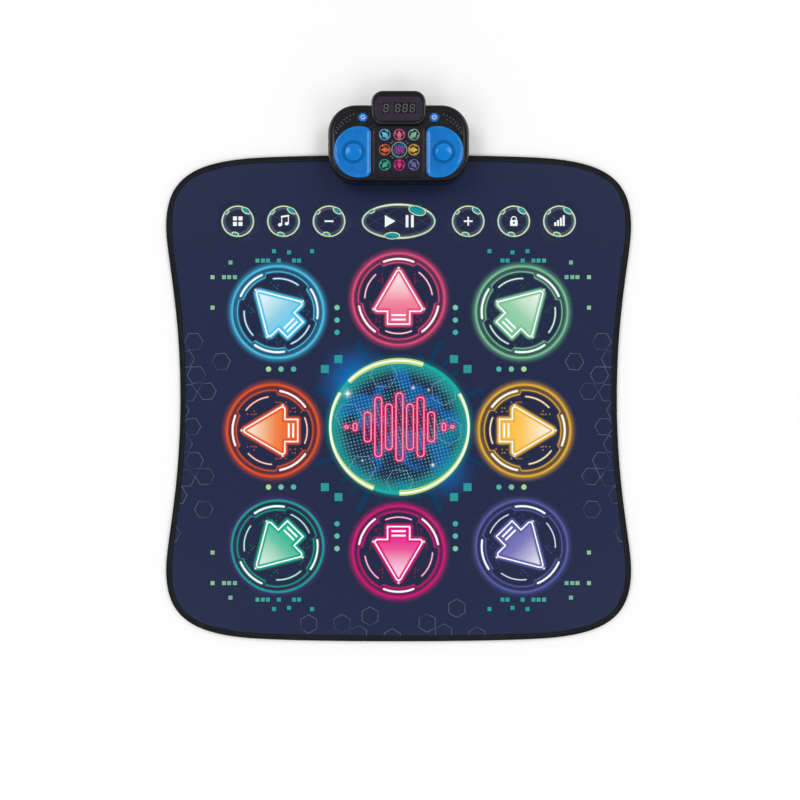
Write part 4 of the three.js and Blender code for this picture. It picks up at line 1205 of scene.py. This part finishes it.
# Music box: two shells, a hood, the panel and two speaker grilles
box = {
    "radius": 51, "wall": 2.25, "face": 42.5, "rim": 44, "rimRadius": 41.5, "rimInner": (-120.5, 406, 120.5, 531),
    "seat": (-44, 408.5, 44, 499.5), "seatRadius": 11, "panelRadius": 12,
    "hoodFront": 503, "hoodHalf": 50, "hoodFloor": 28, "hoodRadius": 21, "lensRadius": 13, "lensThick": 1,
    "beadWidth": 2.2, "beadRise": 0.7, "collarWidth": 2.2, "collarRise": 1.0,
}
buttons = ("mode_button", "power_button")
button = {"radius": 7.9, "flange": 9.5, "gap": 0.3}
shellLow, shellHigh = span("case_bottom")[0], span("case_top")[1]
caseRear = float(span("case_bottom")[1][1])
parting = levels("case_top")[0]
caseRing = outline((shellLow[0], shellLow[1], -shellLow[0], caseRear), box["radius"])
hoodRing = outline((-box["hoodHalf"], box["hoodFront"], box["hoodHalf"], shellHigh[1]), box["hoodRadius"])
rimRing = outline(box["rimInner"], box["rimRadius"])


def plateRing(node, radius, steps=10):
    # the outline of a flat CAD node
    low, high = span(node)
    return outline((low[0], low[1], high[0], high[1]), radius, steps)


def casingFinish(name, tone=(13, 14, 18), wearAndHighlightTone=(66, 68, 74)):
    # moulded black: a satin grain, hair scratches, and paler edges, partly rubbed wear and partly a painted highlight
    f = Finish(name)
    point = f.place()
    scratch = f.noise(f.vector("MULTIPLY", point, (1, 0.04, 1)), 0.6, 3, 0.8)
    cloud = f.noise(point, 30, 3)
    edge = f.output("NewGeometry", "Pointiness")
    # paler sharp edges: rubbed wear together with a painted highlight along the rims
    rubbedAndLitEdge = f.spread(edge, 0.53, 0.62) * f.spread(f.noise(point, 6, 3), 0.45, 0.65) * 0.5
    colour = f.mix(f.spread(cloud, 0.3, 0.7) * 0.5, tone, shaded(tone, 1, 4))
    colour = f.mix(rubbedAndLitEdge, colour, wearAndHighlightTone)
    gloss = f.spread(scratch, 0.35, 0.75, 0.24, 0.28)
    return f.surface(colour, gloss, f.bump(f.noise(point, 0.45, 2), 0.012), {"Specular IOR Level": 0.5})


casing = casingFinish("black_shell")


def makeCaseTop():
    # a wall that rises to a rim and falls to the face inside it, with openings for what sits in the face
    wall, face, rim = box["wall"], box["face"], box["rim"]
    across = lambda share: caseRing() + (rimRing() - caseRing()) * share
    rows = [(wall + 8, face - wall), (wall + 3, face - wall)]
    rows += turnOver((wall + 3, face - wall), (wall, face - wall - 4), 4, False)
    rows += [(wall, parting), (0.3, parting), (0, parting + 0.3), (0, rim - 5)]
    slope = turnOver((0, rim - 4), (0.34, rim - 0.1), 7)
    slope += [(0.5, rim), (0.7, rim), (0.86, rim - 0.05), (0.95, rim - 0.35)]
    flat = [(0, rim - 0.9), (0.2, face + 0.25), (0.7, face), (4, face)]
    rings = ringStack(caseRing, rows) + ringStack(across, slope) + ringStack(rimRing, flat)
    piece = rawObject("box_top", loft(rings))
    holes = [grilleRing(side, -grille["gap"]) for side in (-1, 1)]
    holes += [circle(button["radius"] + button["gap"], 48, *planMiddle(node)) for node in buttons]
    holes.append(roundRect(*box["seat"], box["seatRadius"]))
    for hole in holes:
        carve(piece, prism(hole, face - wall - 5, rim + 5))
    carve(piece, prism(hoodRing(), box["hoodFloor"], rim + 5))
    finished(piece, casing, slot="case_black", stands=["case_top"], bend=28)


def bead(ring, width, rise, level, name):
    # a half-round moulding laid along a closed line on the face
    half = width / 2
    arch = [(half * math.cos(a), level + rise * math.sin(a)) for a in np.linspace(0, np.pi, 9)]
    profile = [(half, level - 0.3), *arch, (-half, level - 0.3)]
    makePiece(name, sweep(ring, profile), casing, slot="case_black", bend=50)


# Raised pips in four curved lines: start, bend, end and count of each, mirrored to the left
pipLines = (((83, 523.4), (109, 513.4), (119.3, 485.4), 9), ((89.5, 513), (106.5, 505.5), (114.9, 489), 6))


def makeMouldings():
    # the frame round the panel, a collar round each button, and the pips on curves of the second degree
    face, width = box["face"], box["beadWidth"]
    frameLine = plateRing("arrow_panel", box["panelRadius"], 14)(-width * 0.6)
    bead(frameLine, width, box["beadRise"], face, "panel_frame")
    for node in buttons:
        line = circle(button["radius"] + box["collarWidth"] / 2 + button["gap"], 64, *planMiddle(node))
        bead(line, box["collarWidth"], box["collarRise"], face, node + "_collar")
    spots = []
    for start, bend, end, count in pipLines:
        share = np.linspace(0, 1, count)[:, None]
        spots.append(
            np.array(start) * (1 - share)**2 + 2 * np.array(bend) * share * (1 - share) + np.array(end) * share**2)
    spots = np.concatenate(spots)
    spots = np.concatenate([spots, spots * (-1, 1)])
    level = np.where(insideRing(spots, rimRing(1)), face, box["rim"])
    pip = lathe([(1.0, -0.2), (0.95, 0.25), (0.7, 0.55), (0.25, 0.68)], 8)
    pips = copies(pip, flatPlaces(spots, level))
    # the pips' pale tone is a painted highlight on the black moulding
    makePiece("face_pips", pips, casingFinish("pips_painted_highlight", (112, 114, 120)), slot="case_black", bend=60)


def makeHood():
    # a housing whose top holds the lens in a shallow seat
    top, floor, wall = shellHigh[2], box["hoodFloor"], box["wall"]
    seat = top - box["lensThick"]
    inside = [(wall + 8, floor + wall), (wall, floor + wall), (wall, top - wall - 1)]
    ledge = [(2.2, top - wall - 1), (2.2, seat), (-0.15, seat), (-0.15, top - 0.25), (-0.5, top)]
    outside = [(3.6, top), *turnOver((0, top - 4.5), (3.4, top), 7)[::-1], (0, floor + 2)]
    outside += [*turnOver((0, floor + 1.6), (1.6, floor), 4), (8, floor)]
    lensRing = plateRing("screen_lens", box["lensRadius"])
    shape = loft(ringStack(hoodRing, inside) + ringStack(lensRing, ledge) + ringStack(hoodRing, outside))
    makePiece("hood_shell", shape, casing, slot="case_black", stands=["case_top"], bend=28)


def makePlate(name, node, radius, finish, slot, soft=0.5):
    # a thin plate with a softened upper edge
    low, high = levels(node)
    rows = [(4, low), (0, low), *turnOver((0, high - soft), (soft, high), 4), (4, high)]
    makePiece(name, loft(ringStack(plateRing(node, radius), rows)), finish, slot=slot, stands=[node])


# Signs on the panel: each one's column and row, and the sizes of a sign
panel = {
    "aside": 1.3, "up": 3.7, "pitch": (26.8, 27.8), "disc": 10.6, "ringRadius": 9.8, "ringHalf": 0.75, "inside": 8.6,
    "spots": {
        "up_left": (-1, 1), "up": (0, 1), "up_right": (1, 1), "left": (-1, 0), "right": (1, 0),
        "down_left": (-1, -1), "down": (0, -1), "down_right": (1, -1),
    },
    "bars": ((0, 7.5), (3.6, 5), (7.2, 6.5)), "dots": ((15.5, 12.2), (12.6, 15)),
}


def drawPanelSign(f, colour, sign, fills, tone):
    # a dark disc in a ring of the pad's tone, its arrow along +y, and three short ticks round it
    radius = sign.range()
    colour = f.mix(radius < panel["disc"], colour, [low * 0.7 + high * 0.3 for low, high in zip(ground, tone)])
    colour = f.mix(radius.near(panel["ringRadius"], panel["ringHalf"]), colour, shaded(tone, 0.66, 34))
    colour = f.mix(radius < panel["inside"], colour, (24, 22, 30))
    across = abs(sign.x)
    head = (across * 0.86 + (sign.y - 6.6) * 0.51).most(-1.8 - sign.y)
    arrow = head.least((across - 2.9).most(-5.6 - sign.y).most(sign.y))
    colour = f.mix(arrow < 0.8, colour, shaded(tone, 0.75))
    fill = f.mix(f.spread(sign.y, -5, 6), shaded(fills[3], 0.85), shaded(fills[2], 0.9))
    colour = f.mix(arrow < -0.1, colour, fill)
    for turn in (70, 180, 290):
        tick = sign.at(0, 0, turn).box(0, 7.6, 2.6, 0.5, 0.4)
        colour = f.mix(tick < 0, colour, shaded(tone, 0.5, 110))
    return colour


def panelFinish():
    # a printed film: eight round arrow signs in the tones of the pads, and sound bars in the middle
    f = Finish("panel_print")
    point = f.place()
    plan = Plan(f, point).at(panel["aside"], grille["y"] + panel["up"])
    colour = f.mix(f.patches(point, 3, 3), (26, 22, 34), (33, 28, 42))
    pitchX, pitchY = panel["pitch"]
    for name, (column, row) in panel["spots"].items():
        way, fills, tone, _ = stepPads[name]
        colour = drawPanelSign(f, colour, plan.at(column * pitchX, row * pitchY, way - 90), fills, tone)
    radius = plan.range()
    colour = f.mix(radius < 14, colour, (26, 34, 56))
    cloud = f.noise(point, 4.5, 2)
    colour = f.mix((radius < 13) * f.spread(cloud, 0.45, 0.6), colour, (18, 84, 150))
    folded = plan.folded()
    for place, half in panel["bars"]:
        colour = f.mix(abs(folded.box(place, 0, 1.1, half, 1)) < 0.5, colour, (160, 52, 120))
    colour = f.mix(radius.near(13.9, 0.6), colour, (134, 176, 130))
    folded = plan.mirrored()
    for place, up in panel["dots"]:
        colour = f.mix(folded.range(place, up) < 0.9, colour, (104, 150, 150))
    gloss = f.patches(point, 9, 4, 0.7, 0.2, 0.32)
    return f.surface(colour, gloss, f.bump(f.noise(point, 0.5, 2), 0.01), {"Specular IOR Level": 0.4})


# Display: two windows, one figure in the left one and three in the right one, and painted glints
display = {
    "up": 1.2, "left": -23.1, "right": 11.9, "leftHalf": 6.0, "rightHalf": 19.8, "halfHeight": 10,
    "figurePitch": 13.2, "slant": 0.09, "sparkles": ((-34, 12.5, 3.4), (34, 12, 3), (33, -13, 3.6)),
}


def lensFinish():
    # smoked plastic over two dark windows: figures of seven unlit strokes, and painted glints on the lens
    f = Finish("smoked_lens")
    point = f.place()
    plan = Plan(f, point).at(0, planMiddle("screen_lens")[1] + display["up"])
    colour = f.mix(f.patches(point, 8, 2), (43, 37, 52), (50, 43, 60))
    left, right, tall, pitch = (display[key] for key in ("left", "right", "halfHeight", "figurePitch"))
    window = plan.box(left, 0, display["leftHalf"], tall, 0.6)
    window = window.least(plan.box(right, 0, display["rightHalf"], tall, 0.6))
    colour = f.mix(window < 0, colour, (13, 13, 14))
    slanted = plan.x - plan.y * display["slant"]
    single = abs(plan.x - left).near(0, display["leftHalf"])
    local = single * (slanted - left) + (1 - single) * (
        f.math("MODULO", slanted - right + pitch / 2 + pitch * 2, pitch) - pitch / 2)
    stroke = plan.merged(abs(local), abs(plan.y))
    figure = stroke.box(0, 0, 2.5, 0.65, 0.3).least(stroke.box(0, 6.9, 2.9, 0.65, 0.3))
    figure = figure.least(stroke.box(3.7, 3.45, 0.65, 2.7, 0.3))
    colour = f.mix((figure < 0) * (window < -0.8), colour, (112, 115, 114))
    # painted glints on the lens
    for starX, starY, reach in display["sparkles"]:
        colour = f.mix(plan.star(starX, starY, reach) * 0.5, colour, (120, 112, 150))
    gloss = f.spread(f.noise(point, 12, 4, 0.7), 0.35, 0.75, 0.08, 0.16)
    coat = {"Coat Weight": 0.3, "Coat Roughness": 0.05}
    return f.surface(colour, gloss, f.bump(f.noise(point, 18, 1), 0.02), coat)


# Speaker grilles: a wide arc about (x, y) closed by a straight side, a dome, and rings of holes and dimples
grille = {
    "arc": 47.4, "x": 72.4, "y": 453.8, "corner": 12, "flat": 51.3, "gap": 0.5, "rim": 5.2, "thick": 2,
    "domeX": 83.2, "domeRadius": 13.9, "domeTop": 45, "holeRows": (17.3, 20.4), "holeCount": 36, "holeRadius": 1.0,
    "dimplePitch": 2.7, "dimplesFrom": 22.8, "dimpleMargin": 7.5, "dimplesPerRow": 6,
}


def grilleRing(side, inset=0.0):
    # the arc and its chord, with a small arc at both corners that touches each
    reach, small, centreX = grille["arc"], grille["corner"], grille["x"]
    cornerX = grille["flat"] + small
    cornerY = math.sqrt((reach - small)**2 - (cornerX - centreX)**2)
    meet = math.atan2(cornerY, cornerX - centreX)
    parts = [
        (centreX, 0, reach - inset, np.linspace(-meet, meet, 64, endpoint=False)),
        (cornerX, cornerY, small - inset, np.linspace(meet, np.pi, 12)),
        (cornerX, -cornerY, small - inset, np.linspace(np.pi, 2 * np.pi - meet, 12, endpoint=False)),
    ]
    ring = np.concatenate([np.column_stack([x + r * np.cos(a), y + r * np.sin(a)]) for x, y, r, a in parts])
    return ring * (side, 1) + (0, grille["y"])


def grilleFinish(side):
    # glossy blue moulding with rings of small dimples round the dome; the dimples and a ring round each hole are
    # painted darker as shade
    f = Finish("blue_grille")
    point = f.place()
    plan = Plan(f, point).at(side * grille["domeX"], grille["y"])
    radius = plan.range()
    step, count = grille["dimplePitch"], grille["holeCount"]
    row = f.math("FLOOR", radius / step)
    acrossGap = abs(radius / step - row - 0.5) * step
    angle = f.math("ARCTAN2", plan.y, plan.x)
    turns = angle * (grille["dimplesPerRow"] / (2 * math.pi)) * row + row * 0.31
    alongGap = abs(f.math("FRACT", turns) - 0.5) * step
    gap = (acrossGap * acrossGap + alongGap * alongGap).root()
    edge = Plan(f, point).at(side * grille["x"], grille["y"])
    field = edge.range() < grille["arc"] - grille["rim"]
    field = field * (edge.x * side > grille["flat"] - grille["x"] + grille["dimpleMargin"])
    dimple = gap.fade(0.6, 0.9) * field * (radius > grille["dimplesFrom"])

    def holeGap(number, ringRadius):
        # distance to the nearest hole of one ring, from the arc and the radius between them
        turns = angle * (count / (2 * math.pi)) + number * 0.5
        along = f.math("PINGPONG", turns, 0.5) * (2 * math.pi * ringRadius / count)
        across = radius - ringRadius
        return (along * along + across * across).root()

    holes = nearest(holeGap(*row) for row in enumerate(grille["holeRows"]))
    colour = f.mix(f.patches(point, 20, 2), (1, 116, 200), (2, 126, 212))
    # painted shade: the dimples darker than the blue round them
    colour = f.mix(dimple * 0.7, colour, (0, 76, 156))
    # painted shade in and round each hole
    colour = f.mix(holes.fade(1.0, 1.35) * 0.9, colour, (0, 20, 42))
    gloss = 0.13 + f.spread(f.noise(point, 7, 4, 0.7), 0.4, 0.8) * 0.1
    return f.surface(colour, gloss, f.bump(1 - dimple, 0.25), {"Specular IOR Level": 0.45})


def makeGrille(side, name):
    # a sunk plate in a raised rim, pierced by two rings of holes, and a dome that bulges from it
    low = levels("grille_" + name)[0]
    level, rim, width = low + grille["thick"], box["rim"], grille["rim"]
    rows = [(9, low), (0.5, low), (0, low + 0.5), (0, rim - 1.3), *turnOver((0, rim - 1.2), (2.4, rim), 8)]
    rows += [(width - 2.4, rim), (width - 1.6, rim - 0.15), (width - 0.5, level + 0.5), (width + 0.6, level)]
    rows += [(9, level)]
    piece = rawObject("blue_grille_" + name, loft(ringStack(lambda inset: grilleRing(side, inset), rows)))
    centre = (side * grille["domeX"], grille["y"])
    count, size = grille["holeCount"], grille["holeRadius"]
    spots = []
    for number, radius in enumerate(grille["holeRows"]):
        angles = (np.arange(count) + number * 0.5) * (2 * np.pi / count)
        spots.append(np.column_stack([np.cos(angles), np.sin(angles)]) * radius + centre)
    hole = lathe([(size, low - 1), (size, rim + 2)], 8)
    carve(piece, copies(hole, flatPlaces(np.concatenate(spots))))
    finish = grilleFinish(side)
    finished(piece, finish, slot="case_blue", stands=["grille_" + name])
    reach, top = grille["domeRadius"], grille["domeTop"]
    rows = [(reach * 0.5, level - 0.6), (reach, level - 0.6), (reach, level)]
    for share in np.linspace(0.985, 0.03, 18):
        rows.append((reach * share, level + (top - level) * math.cos(share * math.pi / 2)**0.8))
    makePiece("grille_dome_" + name, moved(lathe(rows, 72), *centre), finish, slot="case_blue")


def buttonFinish(node):
    # glossy blue key with a white sign pressed into it: a turning arrow, or the mark of a power key
    f = Finish("blue_" + node)
    point = f.place()
    plan = Plan(f, point).at(*planMiddle(node))
    radius = plan.range()
    loop = abs(radius - 3.3) - 0.6
    if node == "power_button":
        sign = loop.most(1.5 - plan.stroke(0, 2, 0, 6)).least(plan.stroke(0, 1.6, 0, 4.2) - 0.5)
    else:
        tip = plan.at(3.3, -0.6, 0)
        head = (abs(tip.x) * 0.8 - (tip.y + 1.7) * 0.6).most(tip.y - 0.9)
        sign = loop.most(2.1 - plan.range(3.6, 0.9)).least(head)
    colour = f.mix(f.patches(point, 5, 2), (2, 108, 200), (6, 116, 212))
    # painted sheen: the middle of the key is a lighter blue
    colour = f.mix(radius.fade(5.2, 6.6) * 0.25, colour, (60, 150, 235))
    colour = f.mix(sign < 0, colour, (212, 224, 240))
    gloss = 0.2 + f.spread(f.noise(point, 3, 4, 0.7), 0.4, 0.8) * 0.12
    return f.surface(colour, gloss, f.bump(f.noise(point, 0.4, 2) * 0.1 - (sign < 0), 0.08))


def makeButton(node):
    # a flange under the face and a round key with a soft shoulder and a shallow dish
    low, high = levels(node)
    size, flange = button["radius"], button["flange"]
    rows = [(3, low), (size, low), (flange, low + 0.2), (flange, low + 1.0), (size, low + 1.2)]
    rows += [(size - inset, level) for inset, level in turnOver((0, high - 1.5), (1.6, high), 6)]
    rows += [(5.6, high - 0.04), (4, high - 0.18), (2, high - 0.28), (0.3, high - 0.3)]
    shape = moved(lathe(rows, 64), *planMiddle(node))
    makePiece("blue_" + node, shape, buttonFinish(node), body=node, slot="case_blue", stands=[node])


# Lower casing: its floor, the battery bay, and the openings for screws, feet, ribbon and sockets
base = {
    "floor": 5.75, "bay": ((-29.75, 476.6), (29.75, 532.5)), "bayTop": 22.7, "bayWall": 1.5,
    "doorGap": 0.4, "doorRadius": 2.5, "wellRadius": 3.25, "wellTop": 30, "restX": 62, "restY": 413, "restRadius": 6,
    "ribbonSlot": (441.5, 446.5), "ribbonGap": 2, "socketGap": 0.2,
}


def makeCaseBottom():
    # a tray turned up at its edge, with a raised bay for the cells and openings in its floor and rear wall
    low = levels("case_bottom")[0]
    floor, wall, gap = base["floor"], box["wall"], base["socketGap"]
    rows = [(wall + 8, floor + wall), (wall + 2, floor + wall), (wall, floor + wall + 2), (wall, parting - 0.2)]
    rows += [(0.3, parting - 0.2), (0, parting - 0.5), (0, floor + 4)]
    rows += [*turnOver((0, floor + 3.5), (3, floor), 6), (8, floor)]
    piece = rawObject("box_base", loft(ringStack(caseRing, rows)))
    bayLow, bayHigh = (np.array([*corner, level]) for corner, level in zip(base["bay"], (floor, base["bayTop"])))
    thick = base["bayWall"]
    carve(piece, block(bayLow - (thick, thick, -1), bayHigh + thick), "UNION")
    carve(piece, block(bayLow - (0, 0, 5), bayHigh))
    mouth = plateRing("battery_door", base["doorRadius"] - base["doorGap"])(-base["doorGap"])
    carve(piece, prism(mouth, floor - 3, levels("battery_door")[1] + 0.2))
    for number in range(1, 5):
        well = circle(base["wellRadius"], 32, *planMiddle("case_screw_%d" % number))
        carve(piece, prism(well, floor - 3, base["wellTop"]))
    for side in (-1, 1):
        rest = circle(base["restRadius"], 32, side * base["restX"], base["restY"])
        carve(piece, prism(rest, low, floor + 1), "UNION")
    left, right = (corner[0] for corner in span("ribbon_tail"))
    front, rear = base["ribbonSlot"]
    slots = [block((left - base["ribbonGap"], front, floor - 2), (right + base["ribbonGap"], rear, floor + wall + 1))]
    for node in ("usb_socket", "audio_socket"):
        (left, _, bottom), (right, _, top) = span(node)
        slots.append(block((left - gap, caseRear - 4, bottom - gap), (right + gap, caseRear + 2, top + gap)))
    for slot in slots:
        carve(piece, slot)
    finished(piece, casing, slot="case_black", stands=["case_bottom"], bend=28)


door = {
    "grooves": 6, "firstGroove": 6, "groovePitch": 2.6, "grooveWidth": 1.5, "grooveDepth": 0.5, "markAhead": 14,
    "mark": ((-3.4, -3), (3.4, -3), (0, 3.2)), "markDepth": 0.35, "headRadius": 3.3, "shankRadius": 1.7,
}


def makeDoor():
    # a profile across the hinge, drawn out along X, with finger grooves and a dent for the screw head
    low, high = span("battery_door")
    bottom, top = low[2], high[2]
    half, level = (top - bottom) / 2, (bottom + top) / 2
    hinge = high[1] - half
    turn = np.linspace(np.pi / 2, -np.pi / 2, 9)
    profile = [(hinge + half * math.cos(a), level + half * math.sin(a)) for a in turn]
    wide, deep = door["grooveWidth"] / 2, door["grooveDepth"]
    for number in range(door["grooves"]):
        y = hinge - door["firstGroove"] - number * door["groovePitch"]
        profile += [(y + wide, bottom), (y + wide * 0.4, bottom + deep)]
        profile += [(y - wide * 0.4, bottom + deep), (y - wide, bottom)]
    profile += [(low[1] + 0.5, bottom), (low[1], bottom + 0.5), (low[1], top)]
    count = len(profile)
    rows = [np.column_stack([np.full(count, x), np.array(profile)]) for x in (low[0], high[0])]
    shape = np.concatenate(rows), gridFaces(2, count) + [list(range(count))[::-1], list(range(count, 2 * count))]
    piece = rawObject("grooved_battery_door", shape)
    x, y = planMiddle("door_screw")
    carve(piece, prism(circle(door["headRadius"], 40, x, y), bottom - 1, level + 0.1))
    carve(piece, prism(circle(door["shankRadius"], 24, x, y), bottom - 1, top + 1))
    mark = np.array(door["mark"]) + (0, y + door["markAhead"])
    carve(piece, prism(mark, bottom - 1, bottom + door["markDepth"]))
    finished(piece, casingFinish("black_door", wearAndHighlightTone=(18, 19, 23)), body="battery_door", slot="case_black",
             stands=["battery_door"], bend=28)


def makeScrew(node, body=matBody):
    # a pan head with a cross cut in it, and its plain shank above
    low, high = levels(node)
    x, y = planMiddle(node)
    deep = 2.0 if body == matBody else 0.75
    neck = low + deep
    rows = [(0.4, low), (2.3, low + 0.04), (2.8, low + 0.25), (3, low + 0.6), (3, neck)]
    rows += [(1.4, neck + 0.05), (1.4, high - 0.6), (1.0, high)]
    piece = rawObject("cross_" + node, moved(lathe(rows, 32), x, y))
    for wide, long in ((0.42, 1.75), (1.75, 0.42)):
        carve(piece, block((x - wide, y - long, low - 1), (x + wide, y + long, low + min(deep, 1.3) * 0.75)))
    finished(piece, finishes["steel"], body=body, slot="steel", stands=[node])


def makeFoot(node):
    # a rubber foot with a soft edge and a ring pressed into its tread
    low, high = levels(node)
    top = levels("case_bottom")[0]
    rows = [(0.5, low + 0.5), (3.8, low + 0.5), (4.3, low), (7.2, low), (7.8, low + 0.3), (8, low + 1.0)]
    rows += [(8, top + 0.2), (7.6, top + 0.6), (2, top + 0.6), (2, top + 3.0), (2.5, top + 3.2)]
    rows += [(2.3, high), (0.5, high)]
    shape = moved(lathe(rows), *planMiddle(node))
    makePiece("ringed_" + node, shape, finishes["rubber"], slot="base_rubber", stands=[node])


makeCaseTop()
makeHood()
makeMouldings()
makeCaseBottom()
makePlate("printed_panel", "arrow_panel", box["panelRadius"], panelFinish(), "panel_print")
makePlate("display_lens", "screen_lens", box["lensRadius"], lensFinish(), "smoked_lens", 0.3)
for side, name in ((-1, "left"), (1, "right")):
    makeGrille(side, name)
for node in buttons:
    makeButton(node)
makeDoor()
makeScrew("door_screw", "battery_door")
for number in range(1, 5):
    makeScrew("case_screw_%d" % number)
for name in ("left", "right"):
    makeFoot("rear_foot_" + name)
print("Music box made")


# What stays as modelled takes a finish of its own
dress = {
    "rubber": ("clamp_plate",),
    "foam": ("spacer_foam",),
    "film": ("lower_circuit", "upper_circuit", "ribbon_tail"),
    "board": ("main_board", "key_board"),
    "white": ("light_guide", "ribbon_connector"),
    "cone": ("speaker_cone_left", "speaker_cone_right"),
    "basket": ("speaker_left", "speaker_right"),
    "contact": ("contact_spring", "contact_plate"),
    "display": ("display_level", "display_score"),
    "seam": ("usb_socket", "audio_socket", "mode_switch", "power_switch"),
    "steel": ("clamp_screw_left", "clamp_screw_right"),
    "cell": ("battery_cell_1", "battery_cell_2", "battery_cell_3"),
}
for kind, nodes in dress.items():
    for node in nodes:
        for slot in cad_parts[node].material_slots:
            slot.link = "OBJECT"
            slot.material = finishes[kind]
print("Finishes given")


# Studio: a pale floor, four soft lamps and a world that is dimmer overhead
studio = {
    "lampPower": 12.8, "lampSize": 1.1, "lampReach": 2.4, "lampRise": 42, "lamps": 4,
    "overhead": 0.18, "horizon": 1.0,
    "floorSize": 12000, "floorFade": (750, 1500), "floorTone": (252, 252, 252),
}


def makeFloor():
    # matt near the object, where it holds the shadow; plain white farther out and in reflections
    size = studio["floorSize"]
    corners = np.array([(-size, -size, 0), (size, -size, 0), (size, size, 0), (-size, size, 0)])
    floor = rawObject("floor", (corners, [[0, 1, 2, 3]]))
    f = Finish("floor")
    matt = f.node("BsdfDiffuse", {}, {"Color": linear(studio["floorTone"])})
    bright = f.node("Emission", {}, {"Color": (1, 1, 1, 1), "Strength": 1.0})
    rays = f.node("LightPath").outputs
    direct, glossy, through = (Value(f, rays["Is %s Ray" % kind]) for kind in ("Camera", "Glossy", "Transmission"))
    far = f.spread(f.vector("LENGTH", f.place()), *studio["floorFade"])
    both = f.node("MixShader", {}, {0: glossy.most(through).most(direct * far)})
    f.tree.links.new(matt.outputs[0], both.inputs[1])
    f.tree.links.new(bright.outputs[0], both.inputs[2])
    floor.data.materials.append(f.end("OutputMaterial", both))


def makeLamps():
    # square lamps in a ring, each aimed at the middle of the mat
    rise, reach = math.radians(studio["lampRise"]), studio["lampReach"]
    level, height = reach * math.cos(rise), reach * math.sin(rise)
    for number in range(studio["lamps"]):
        turn = math.radians(45 + 360 / studio["lamps"] * number)
        data = bpy.data.lights.new("lamp", "AREA")
        data.shape = "SQUARE"
        data.size = studio["lampSize"]
        data.energy = studio["lampPower"]
        lamp = bpy.data.objects.new("lamp", data)
        lamp.location = (level * math.cos(turn), level * math.sin(turn), height)
        lamp.rotation_euler = (math.pi / 2 - rise, 0, turn + math.pi / 2)
        lamp.visible_camera = False
        bpy.context.scene.collection.objects.link(lamp)


def makeWorld():
    # white light that is weaker overhead; plain white where the camera sees it
    world = bpy.data.worlds.new("studio")
    bpy.context.scene.world = world
    f = Finish("studio", world)
    _, _, up = f.parts(f.output("TexCoord", "Generated"))
    light = f.spread(up.most(0), 0.1, 1.0, studio["horizon"], studio["overhead"])
    rays = f.node("LightPath").outputs
    seen = Value(f, rays["Is Camera Ray"]).most(Value(f, rays["Is Transmission Ray"]))
    back = f.node("Background", {}, {"Color": (1, 1, 1, 1), "Strength": seen + light * (1 - seen)})
    f.end("OutputWorld", back)


makeFloor()
makeLamps()
makeWorld()
bpy.context.scene.view_settings.view_transform = "Standard"
print("Studio made")
